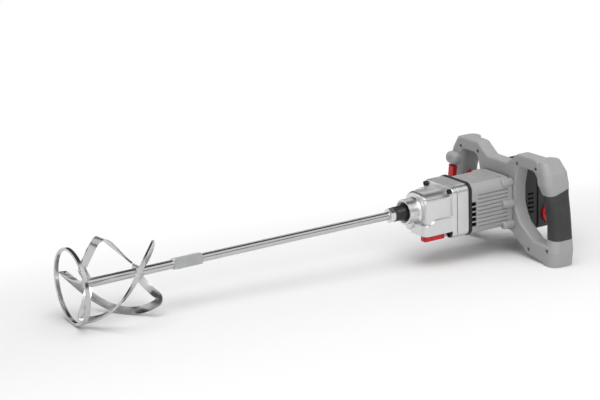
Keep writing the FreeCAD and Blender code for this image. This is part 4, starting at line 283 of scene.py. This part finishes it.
def moulded(name, colour, smooth, grain=1700.0, depth=0.06 * MM, edge=0.9 * MM, edge_wear_and_glint=0.35,
            coat=0.0, wear_and_glint_gain=1.45):
    """Moulded skin: eroded grain, paler edges, soft changes of colour. The paler edges are rubbed
    wear at a small gain and a painted highlight at a large gain, as on the spindle's thread crests.
    """
    finish = Finish(name, Coat_Weight=coat, Coat_Roughness=0.25, IOR=1.48)
    cloud = finish.noise(22.0, detail=5.0)
    spark = finish.noise(grain, detail=3.0, rough=0.6)
    edge_share = finish.edge_mask(edge, gain=2.5)
    # Paler edges: rubbed wear at a small gain, a painted highlight on edges and thread crests at a
    # large gain.
    dull, bright, worn_and_lit_edge = shade(colour, 0.9), shade(colour, 1.1), shade(colour, wear_and_glint_gain)
    base = finish.mix(cloud * 0.7 + spark * 0.3, dull, bright)
    finish.set("Base Color", finish.mix(edge_share * edge_wear_and_glint, base, worn_and_lit_edge))
    finish.set("Roughness", smooth + cloud * 0.10 + spark * 0.06 - edge_share * 0.06)
    finish.relief(spark, depth, edge)
    return finish.material


def rubbery(name, colour, smooth):
    """Soft rubber: pebbled skin with greyer handled patches."""
    finish = Finish(name, IOR=1.45)
    cloud = finish.noise(30.0, detail=5.0)
    pebble = finish.cells(950.0)
    fine = finish.noise(2600.0, detail=2.0)
    edge_share = finish.edge_mask(1.5 * MM, gain=2.5)
    handled = finish.ramp(cloud, (0.45, 0.0), (0.68, 1.0))
    crest, gap, greyed = shade(colour, 1.1), shade(colour, 0.8), shade(colour, 1.7)
    base = finish.mix(pebble, crest, gap)
    finish.set("Base Color", finish.mix(handled * 0.35 + edge_share * 0.25, base, greyed))
    finish.set("Roughness", smooth + pebble * 0.10 - handled * 0.08)
    finish.relief(pebble * 0.7 + fine * 0.3, 0.10 * MM, 1.2 * MM)
    return finish.material


def wound(name, colour, smooth):
    """Enamelled wire seen as fine strands along the axis, over a lacquer."""
    finish = Finish(name, Metallic=0.7, Coat_Weight=0.4)
    strands = finish.noise(1800.0, detail=2.0, rough=0.5, stretch=(0.08, 1.0, 1.0))
    gap, bright = shade(colour, 0.55), shade(colour, 1.1)
    finish.set("Base Color", finish.mix(strands, gap, bright))
    finish.set("Roughness", smooth + strands * 0.2)
    finish.relief(strands, 0.15 * MM)
    return finish.material


# Each record slot's maker, colour and settings
FINISHES = {
    "polished_steel": (metal, "chrome", dict(
        smooth=0.12, spread=0.12, grain=900.0, depth=0.01 * MM, edge=0.4 * MM,
        stretch=(0.04, 1.0, 1.0))),
    "bright_steel": (metal, "zinc", dict(
        smooth=0.24, spread=0.14, grain=1100.0, depth=0.03 * MM, edge=0.5 * MM)),
    "gear_steel": (metal, "ground_steel", dict(
        smooth=0.22, spread=0.14, grain=1300.0, depth=0.02 * MM, edge=0.3 * MM)),
    "screw_steel": (metal, "screws", dict(
        smooth=0.30, spread=0.16, grain=1200.0, depth=0.03 * MM, edge=0.4 * MM)),
    "core_iron": (metal, "iron", dict(
        smooth=0.38, spread=0.16, grain=1600.0, depth=0.10 * MM, edge=0.2 * MM,
        stretch=(1.0, 0.05, 0.05))),
    "cast_aluminium": (cast_metal, "casting", dict(
        smooth=0.26, depth=0.12 * MM, edge=1.0 * MM)),
    # Blacking's large edge gain is a painted highlight on the thread crests of the nose.
    "black_steel": (moulded, "blacking", dict(
        smooth=0.26, grain=1500.0, depth=0.03 * MM, edge=0.5 * MM, edge_wear_and_glint=1.0, wear_and_glint_gain=14.0)),
    "grey_plastic": (moulded, "grey", dict(
        smooth=0.44, grain=1500.0, depth=0.07 * MM, edge=1.2 * MM)),
    "red_plastic": (moulded, "red", dict(
        smooth=0.34, grain=1300.0, depth=0.02 * MM, edge=0.8 * MM, edge_wear_and_glint=0.2, coat=0.1)),
    "black_plastic": (moulded, "black", dict(smooth=0.42)),
    "dark_plastic": (moulded, "dark", dict(smooth=0.42)),
    "carbon": (moulded, "carbon", dict(smooth=0.6)),
    "black_rubber": (rubbery, "seals", dict(smooth=0.55)),
    "grip_rubber": (rubbery, "grips", dict(smooth=0.56)),
    "copper": (wound, "wire", dict(smooth=0.28)),
}


def make_finish(slot, colours):
    """The material of a record slot, made on first use."""
    name = slot + "_finish"
    found = bpy.data.materials.get(name)
    if found:
        return found
    maker, colour, settings = FINISHES[slot]
    return maker(name, getattr(colours, colour), **settings)


def dress(nodes, colours):
    """Gives CAD nodes the material of their own slot."""
    for name in nodes:
        node = NODES[name]
        material = make_finish(SLOTS[name], colours)
        if not node.material_slots:
            node.data.materials.append(material)
        for place in node.material_slots:
            place.material = material


# Surfaces

def add_surface(name, grid, body, slot, colours, wrap_rows=False, sharp=32.0):
    """A mesh piece of a grid of points: its rows run along the shape, its columns close round it.

    Each face joins a point with its neighbours in the next column and the next row. With
    wrap_rows the last row meets the first. Edges over the sharp angle, in degrees, stay sharp.
    """
    rows, columns = grid.shape[:2]
    index = np.arange(rows * columns).reshape(rows, columns)
    here = index if wrap_rows else index[:-1]
    ahead = np.roll(index, -1, axis=0) if wrap_rows else index[1:]
    corners = (here, np.roll(here, -1, axis=1), np.roll(ahead, -1, axis=1), ahead)
    faces = np.stack(corners, axis=-1).reshape(-1, 4)
    mesh = bpy.data.meshes.new(name)
    mesh.from_pydata(grid.reshape(-1, 3).tolist(), [], faces.tolist())
    shell = bmesh.new()
    shell.from_mesh(mesh)
    bmesh.ops.remove_doubles(shell, verts=shell.verts, dist=WELD)
    bmesh.ops.dissolve_degenerate(shell, edges=shell.edges, dist=SLIVER)
    bmesh.ops.recalc_face_normals(shell, faces=shell.faces)
    shell.to_mesh(mesh)
    shell.free()
    mesh.shade_smooth()
    mesh.set_sharp_from_angle(angle=math.radians(sharp))
    piece = bpy.data.objects.new(name, mesh)
    bpy.context.scene.collection.objects.link(piece)
    mesh.materials.append(make_finish(slot, colours))
    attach(piece, body)
    return piece


def turns(count):
    """Evenly spaced angles round a full turn, the first at 0."""
    return np.linspace(0.0, FULL_TURN, count, endpoint=False)


def polar(along, radius, columns):
    """Points round the X axis: y = -radius x sine and z = radius x cosine of the angle.

    The place along the axis and the radius may each change with row and column.
    """
    along, radius, angle = np.broadcast_arrays(along, radius, turns(columns)[None, :])
    return np.stack((along, -radius * np.sin(angle), radius * np.cos(angle)), axis=-1)


def hexagon(across, columns):
    """Radius of a hexagon by angle, with corners at the top and bottom.

    It is half the distance across the flats over the cosine of the angle from a flat's middle.
    """
    return across / 2.0 / np.cos(turns(columns) % (np.pi / 3.0) - np.pi / 6.0)


# Settings

def length(name, description, default):
    """A distance in metres that a user may change."""
    return bpy.props.FloatProperty(name=name, description=description, default=default,
                                   subtype="DISTANCE", unit="LENGTH")


def tint(name, description, *default):
    """A colour that a user may change."""
    return bpy.props.FloatVectorProperty(name=name, description=description, default=default,
                                         subtype="COLOR", size=3, min=0.0, max=1.0)


def angle_of(name, description, degrees):
    """An angle that a user may change, given here in degrees."""
    return bpy.props.FloatProperty(name=name, description=description,
                                   default=math.radians(degrees), subtype="ANGLE")


class MIXER_PG_colours(bpy.types.PropertyGroup):
    """Colours of the finishes."""

    chrome: tint("Chrome", "Polished stirrer", 0.56, 0.56, 0.565)
    zinc: tint("Zinc", "Lock nut and coupling", 0.72, 0.73, 0.74)
    blacking: tint("Blacking", "Spindle nose", 0.014, 0.014, 0.0145)
    casting: tint("Casting", "Gear housing and rear plate", 0.73, 0.73, 0.735)
    ground_steel: tint("Ground steel", "Gears, shafts and bearings", 0.56, 0.56, 0.57)
    # Screw heads are near black: painted shade of the deep pockets they sit in.
    screws: tint("Screws", "Screw heads", 0.045, 0.045, 0.047)
    seals: tint("Seals", "Oil seal, damping ring and inlet bush", 0.016, 0.016, 0.016)
    black: tint("Black", "Air guide and rear housing", 0.012, 0.012, 0.0125)
    grey: tint("Grey", "Motor housing and handle frame", 0.36, 0.36, 0.363)
    grips: tint("Grips", "Rubber sleeves", 0.036, 0.036, 0.037)
    dark: tint("Dark", "Rear cap", 0.022, 0.022, 0.023)
    red: tint("Red", "Trigger, lock button, selector and dial", 0.56, 0.004, 0.006)
    iron: tint("Iron", "Stator and armature cores", 0.34, 0.33, 0.32)
    wire: tint("Wire", "Windings and commutator", 0.60, 0.26, 0.10)
    carbon: tint("Carbon", "Brushes", 0.02, 0.02, 0.02)


class MIXER_PG_sizes(bpy.types.PropertyGroup):
    """Sizes of the turned details."""

    thread_pitch: length("Thread pitch", "Pitch of the thread on the spindle nose", 3.0 * MM)
    thread_depth: length("Thread depth", "Depth of that thread", 1.1 * MM)
    nut_chamfer: length("Nut chamfer", "Depth of the lock nut's chamfers", 2.2 * MM)
    case_bead: length("Seal case", "Radius of the seal's rolled steel edge", 0.8 * MM)
    gasket_inset: length("Gasket inset", "Gasket below the flange's edge", 0.1 * MM)
    gasket_deep: length("Gasket depth", "Gasket across, into its groove", 1.4 * MM)
    gasket_wide: length("Gasket width", "Gasket along the axis", 1.0 * MM)
    plate_round: length("Plate corner", "Corner radius of the gearbox's rear plate", 13.0 * MM)
    plate_lug: length("Plate lugs", "Screw lugs beyond the sides of that plate", 1.1 * MM)


class MIXER_PG_stage(bpy.types.PropertyGroup):
    """Floor, light and camera."""

    floor: tint("Floor", "Studio floor", 0.86, 0.86, 0.86)
    floor_lift: bpy.props.FloatProperty(
        name="Floor lift", description="White mixed into the floor round the machine",
        default=0.0, min=0.0, max=1.0)
    sky: bpy.props.FloatProperty(
        name="Sky", description="Strength of the light from all round", default=0.36, min=0.0)
    key: bpy.props.FloatProperty(
        name="Key", description="Power of the large lamp above", default=33.0, min=0.0,
        unit="POWER")
    focal: bpy.props.FloatProperty(
        name="Focal length", description="Camera lens in millimetres", default=96.0, min=1.0)
    place: bpy.props.FloatVectorProperty(
        name="Camera place", description="Camera in the part's frame", size=3,
        default=(-1.46464, -2.11261, 0.78386), subtype="TRANSLATION", unit="LENGTH")
    yaw: angle_of("Yaw", "Camera turned from +Y towards +X", 30.9)
    pitch: angle_of("Pitch", "Camera looking down", 16.4)
    roll: angle_of("Roll", "Camera turned about its view", -2.4)


# Pieces

class MIXER_OT_stirrer(bpy.types.Operator):
    """Chromed rods, bands and hoop, the zinc coupling and a chamfered lock nut"""

    bl_idname = "mixer.stirrer"
    bl_label = "Stirrer"

    def execute(self, context):
        scene = context.scene
        dress(("hoop", "band_1", "band_2", "band_3", "lower_rod", "upper_rod", "coupling"),
              scene.mixer_colours)
        self.lock_nut(scene)
        return {"FINISHED"}

    def lock_nut(self, scene):
        """Hexagon cut by a cone at each end: radius = least of the hexagon and the two cones."""
        low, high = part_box("lock_nut")
        columns = 144
        across = high.y - low.y
        face_share = 0.475
        share = np.array([0.0, 0.25, 0.5, 0.75, 1.0]) * scene.mixer_sizes.nut_chamfer
        along = np.concatenate(([low.x], low.x + share, high.x - share[::-1], [high.x]))[:, None]
        rise = np.minimum(along - low.x, high.x - along)
        cone = face_share * across + rise * math.sqrt(3.0)
        radius = np.minimum(hexagon(across, columns)[None, :], cone)
        radius[[0, -1]] = BORE
        nut = add_surface("lock_nut_dressed", polar(along, radius, columns), "spindle",
                          "bright_steel", scene.mixer_colours, wrap_rows=True)
        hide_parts("lock_nut")


class MIXER_OT_spindle(bpy.types.Operator):
    """Black spindle with its threaded nose, and the seal round it"""

    bl_idname = "mixer.spindle"
    bl_label = "Spindle"

    def execute(self, context):
        scene = context.scene
        dress(("oil_seal",), scene.mixer_colours)
        self.nose(scene)
        self.seal_case(scene)
        return {"FINISHED"}

    def seal_case(self, scene):
        """Rolled steel edge of the seal: a ring of round section just inside the seal's rim."""
        low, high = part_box("oil_seal")
        bead = scene.mixer_sizes.case_bead
        middle = high.z - 1.2 * bead
        turn = turns(12)[:, None]
        grid = polar(low.x + bead * np.cos(turn), middle + bead * np.sin(turn), 96)
        add_surface("seal_case", grid, "housing", "bright_steel", scene.mixer_colours,
                    wrap_rows=True, sharp=60.0)

    def nose(self, scene):
        """Turned profile with a helical thread cut into its nose.

        The cut is a triangle wave of place / pitch - angle / full turn, and fades out over one
        pitch at each end of the thread.
        """
        pitch, depth = scene.mixer_sizes.thread_pitch, scene.mixer_sizes.thread_depth
        low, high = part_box("spindle")
        top, columns, steps_per_pitch = high.z, 96, 8.0
        around = np.linspace(0.0, 1.0, columns, endpoint=False)[None, :]
        thread = np.arange(low.x + THREAD_START, low.x + THREAD_END, pitch / steps_per_pitch)
        thread = thread[:, None]
        phase = (thread / pitch - around) % 1.0
        inside = np.minimum(thread - thread[0], thread[-1] - thread)
        cut = depth * np.clip(inside / pitch, 0.0, 1.0) * np.abs(2.0 * phase - 1.0)
        bearing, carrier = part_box("spindle_front_bearing"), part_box("bearing_carrier")
        seat, step = bearing[0].x - SEAT_SPARE, bearing[1].x + SEAT_SPARE
        tail = carrier[0].x - TAIL_SPARE
        bottom = low.x + BORE_DEPTH
        front = [(bottom, 0.0), (bottom, BORE), (low.x, BORE), (low.x, top - NOSE_CHAMFER),
                 (low.x + NOSE_CHAMFER, top)]
        rear = [(seat, top), (seat, SEAT_RADIUS), (step, SEAT_RADIUS), (step, SHAFT_RADIUS),
                (tail, SHAFT_RADIUS), (tail, TAIL_RADIUS), (high.x, TAIL_RADIUS), (high.x, 0.0)]
        whole = np.ones((1, columns))
        ahead, behind = (np.array(rows)[:, :, None] * whole for rows in (front, rear))
        along = np.concatenate((ahead[:, 0], thread * whole, behind[:, 0]))
        radius = np.concatenate((ahead[:, 1], top - cut, behind[:, 1]))
        nose = add_surface("spindle_dressed", polar(along, radius, columns), "spindle",
                           "black_steel", scene.mixer_colours, sharp=40.0)
        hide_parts("spindle")


class MIXER_OT_gearbox(bpy.types.Operator):
    """Cast gear housing and plate, the gears inside, the selector and the gasket"""

    bl_idname = "mixer.gearbox"
    bl_label = "Gearbox"

    def execute(self, context):
        scene = context.scene
        dress(("gear_housing", "gearbox_plate", "gearbox_screws", "bearing_carrier",
               "spindle_front_bearing", "spindle_rear_bearing", "low_gear", "high_gear",
               "shift_sleeve", "layshaft", "low_pinion", "high_pinion", "layshaft_wheel",
               "layshaft_bearing_front", "layshaft_bearing_rear", "shift_fork", "fork_rod",
               "selector_shaft", "selector_lever"), scene.mixer_colours)
        self.gasket(scene)
        return {"FINISHED"}

    def gasket(self, scene):
        """Gasket in the groove before the plate: an oblong section along the plate's outline."""
        sizes = scene.mixer_sizes
        low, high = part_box("gearbox_plate")
        back = low.x - GASKET_SPARE
        front = back - sizes.gasket_wide
        outer = sizes.plate_lug + sizes.gasket_inset
        inner = outer + sizes.gasket_deep
        corner = sizes.plate_round + sizes.plate_lug
        section = ((front, inner), (front, outer), (back, outer), (back, inner))
        grid = np.stack([self.outline(low, high, corner, x, inset) for x, inset in section])
        add_surface("gasket", grid, "housing", "black_rubber", scene.mixer_colours,
                    wrap_rows=True)

    def outline(self, low, high, radius, x, inset):
        """Rounded rectangle of a box's sides drawn in by an inset.

        Each point is a corner's middle plus the radius less the inset, times the cosine and sine
        of its angle, so a quarter circle at each corner is joined straight to the next.
        """
        count = 64
        angle = turns(count) + np.pi / count
        cosine, sine = np.cos(angle), np.sin(angle)
        y = np.where(cosine > 0.0, high.y - radius, low.y + radius) + (radius - inset) * cosine
        z = np.where(sine > 0.0, high.z - radius, low.z + radius) + (radius - inset) * sine
        return np.stack((np.full_like(y, x), y, z), axis=-1)


class MIXER_OT_motor(bpy.types.Operator):
    """Ribbed motor housing, air guide and the motor inside"""

    bl_idname = "mixer.motor"
    bl_label = "Motor"

    def execute(self, context):
        dress(("air_guide", "motor_housing", "motor_screws", "damping_ring", "armature_shaft",
               "drive_pinion", "armature_core", "armature_winding", "commutator", "fan",
               "armature_front_bearing", "armature_rear_bearing", "stator_core", "field_coils",
               "brush_holders", "brushes"), context.scene.mixer_colours)
        return {"FINISHED"}


class MIXER_OT_handles(bpy.types.Operator):
    """Handle frame, rubber sleeves, trigger, lock button and inlet bush"""

    bl_idname = "mixer.handles"
    bl_label = "Handles"

    def execute(self, context):
        dress(("frame_front", "frame_rear", "frame_screws", "near_grip_sleeve",
               "far_grip_sleeve", "trigger", "switch_block", "lock_button", "inlet_bush"),
              context.scene.mixer_colours)
        return {"FINISHED"}


class MIXER_OT_rear(bpy.types.Operator):
    """Black rear housing, rear cap, dial and control module"""

    bl_idname = "mixer.rear"
    bl_label = "Rear housing"

    def execute(self, context):
        dress(("rear_housing", "rear_cap", "cap_screws", "speed_dial", "control_module"),
              context.scene.mixer_colours)
        return {"FINISHED"}


class MIXER_OT_stage(bpy.types.Operator):
    """Pale floor, soft light, dark cards and the photograph's camera"""

    bl_idname = "mixer.stage"
    bl_label = "Stage"

    def execute(self, context):
        scene = context.scene
        scene.view_settings.view_transform = "Standard"
        self.floor(scene)
        self.sky(scene)
        self.lamps(scene)
        self.flags(scene)
        self.camera(scene)
        return {"FINISHED"}

    def shown(self, nodes):
        """1 for what is seen straight, in metal or through glass, 0 for light on its way."""
        camera, glossy, through = (nodes.node("ShaderNodeLightPath", out="Is %s Ray" % kind)
                                   for kind in ("Camera", "Glossy", "Transmission"))
        return (camera + glossy + through).at_most(1.0)

    def far(self, nodes, lift):
        """Rises from the lift to 1 away from the machine's middle, in ovals along the machine."""
        place = nodes.node("ShaderNodeTexCoord", out="Object")
        oval = nodes.node("ShaderNodeMapping", {"vector_type": "POINT"},
                          {"Vector": place, "Location": SHADOW_PLACE, "Scale": SHADOW_SCALE})
        away = nodes.node("ShaderNodeVectorMath", {"operation": "LENGTH"}, {0: oval}, "Value")
        return nodes.ramp(away * 0.5, (SHADOW_START, lift), (SHADOW_END, 1.0))

    def floor(self, scene):
        """Level the tool rests on: a plane through the hoop's lowest point and the frame's feet.

        Its height is the hoop's lowest point less a gap, plus slope x distance from the hoop.
        """
        stage = scene.mixer_stage
        hoop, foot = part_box("hoop"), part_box("frame_front")
        front = (hoop[0].x + hoop[1].x) / 2.0
        back = (foot[0].x + foot[1].x) / 2.0
        slope = (foot[0].z - hoop[0].z) / (back - front)
        side = np.array([-FLOOR_REACH, FLOOR_REACH])
        x, y = (v.ravel() for v in np.meshgrid(side, side))
        z = hoop[0].z - FLOOR_GAP + slope * (x - front)
        mesh = bpy.data.meshes.new("floor")
        mesh.from_pydata(np.stack((x, y, z), axis=-1).tolist(), [], [(0, 1, 3, 2)])
        floor = bpy.data.objects.new("floor", mesh)
        scene.collection.objects.link(floor)
        material = bpy.data.materials.new("floor_finish")
        material.use_nodes = True
        material.node_tree.nodes.clear()
        nodes = Nodes(material.node_tree)
        paper = nodes.node("ShaderNodeBsdfDiffuse", None, {"Color": shade(stage.floor, 1.0)})
        white = nodes.node("ShaderNodeEmission", None, {"Strength": 1.0})
        lift = self.shown(nodes) * self.far(nodes, stage.floor_lift)
        both = nodes.mix_shaders(lift, paper, white)
        nodes.node("ShaderNodeOutputMaterial", None, {"Surface": both})
        mesh.materials.append(material)

    def sky(self, scene):
        """Light from all round: bright above, dim along the horizon, white where it is seen."""
        world = bpy.data.worlds.new("studio")
        world.use_nodes = True
        world.node_tree.nodes.clear()
        scene.world = world
        nodes = Nodes(world.node_tree)
        way = nodes.node("ShaderNodeTexCoord", out="Generated")
        height = nodes.node("ShaderNodeSeparateXYZ", None, {0: way}, "Z")
        glow = nodes.ramp(height * 0.5 + 0.5, *SKY_STOPS)
        light = nodes.node("ShaderNodeBackground", None,
                           {"Color": glow, "Strength": scene.mixer_stage.sky})
        white = nodes.node("ShaderNodeBackground", None, {"Color": WHITE, "Strength": 1.0})
        both = nodes.mix_shaders(self.shown(nodes), light, white)
        nodes.node("ShaderNodeOutputWorld", None, {"Surface": both})

    def lamps(self, scene):
        """Large soft lamps aimed at the machine's middle; one only gives polished highlights."""
        for name, (place, side, share, on_polish, on_matt) in LAMPS.items():
            lamp = bpy.data.lights.new(name, "AREA")
            lamp.size = side
            lamp.energy = scene.mixer_stage.key * share
            holder = bpy.data.objects.new(name, lamp)
            holder.location = place
            ahead = Vector(LAMP_AIM) - Vector(place)
            holder.rotation_euler = ahead.to_track_quat("-Z", "Y").to_euler()
            holder.visible_glossy = on_polish
            holder.visible_diffuse = on_matt
            scene.collection.objects.link(holder)

    def flags(self, scene):
        """Dark cards that only polished surfaces see, each facing the frame's origin."""
        finish = Finish("flag_finish")
        finish.set("Base Color", FLAG_GREY)
        for name, (place, wide, high) in FLAGS.items():
            middle = Vector(place)
            ahead = -middle.normalized()
            level = ahead.cross(Vector((0.0, 0.0, 1.0))).normalized()
            upright = level.cross(ahead)
            corners = [middle + level * (x * wide / 2.0) + upright * (y * high / 2.0)
                       for x, y in ((-1, -1), (1, -1), (1, 1), (-1, 1))]
            mesh = bpy.data.meshes.new(name)
            mesh.from_pydata([tuple(corner) for corner in corners], [], [(0, 1, 2, 3)])
            mesh.materials.append(finish.material)
            card = bpy.data.objects.new(name, mesh)
            for ray in ("camera", "diffuse", "shadow", "transmission"):
                setattr(card, "visible_" + ray, False)
            scene.collection.objects.link(card)

    def camera(self, scene):
        """The photograph's camera: yaw from +Y towards +X, then pitch down, then roll."""
        stage = scene.mixer_stage
        level_share = math.cos(stage.pitch)
        ahead = Vector((math.sin(stage.yaw) * level_share, math.cos(stage.yaw) * level_share,
                        -math.sin(stage.pitch)))
        level = Vector((math.cos(stage.yaw), -math.sin(stage.yaw), 0.0))
        upright = level.cross(ahead)
        right = math.cos(stage.roll) * level + math.sin(stage.roll) * upright
        up = math.cos(stage.roll) * upright - math.sin(stage.roll) * level
        lens = bpy.data.cameras.new("camera")
        lens.lens = stage.focal
        lens.sensor_width = SENSOR_WIDTH
        lens.sensor_fit = "HORIZONTAL"
        lens.clip_end = CLIP_END
        camera = bpy.data.objects.new("camera", lens)
        turn = Matrix((right, up, -ahead)).transposed().to_4x4()
        camera.matrix_world = Matrix.Translation(Vector(stage.place)) @ turn
        scene.collection.objects.link(camera)
        scene.camera = camera


class MIXER_PT_panel(bpy.types.Panel):
    """Lists the steps and the settings."""

    bl_idname = "MIXER_PT_panel"
    bl_label = "Mixing drill"
    bl_space_type = "VIEW_3D"
    bl_region_type = "UI"
    bl_category = "Mixing drill"

    def draw(self, context):
        for step in STEPS:
            self.layout.operator(step.bl_idname)
        for group in GROUPS:
            settings = getattr(context.scene, group)
            for key in settings.bl_rna.properties.keys():
                if key not in ("rna_type", "name"):
                    self.layout.prop(settings, key)


STEPS = (MIXER_OT_stage, MIXER_OT_stirrer, MIXER_OT_spindle, MIXER_OT_gearbox, MIXER_OT_motor,
         MIXER_OT_handles, MIXER_OT_rear)
GROUPS = {"mixer_colours": MIXER_PG_colours, "mixer_sizes": MIXER_PG_sizes,
          "mixer_stage": MIXER_PG_stage}
CLASSES = tuple(GROUPS.values()) + STEPS + (MIXER_PT_panel,)


def register():
    for kind in CLASSES:
        bpy.utils.register_class(kind)
    for name, kind in GROUPS.items():
        setattr(bpy.types.Scene, name, bpy.props.PointerProperty(type=kind))


def unregister():
    for name in GROUPS:
        delattr(bpy.types.Scene, name)
    for kind in reversed(CLASSES):
        bpy.utils.unregister_class(kind)


def main():
    register()
    bpy.ops.mixer.stage()
    bpy.ops.mixer.stirrer()
    bpy.ops.mixer.spindle()
    bpy.ops.mixer.gearbox()
    bpy.ops.mixer.motor()
    bpy.ops.mixer.handles()
    bpy.ops.mixer.rear()


if __name__ == "__main__":
    main()
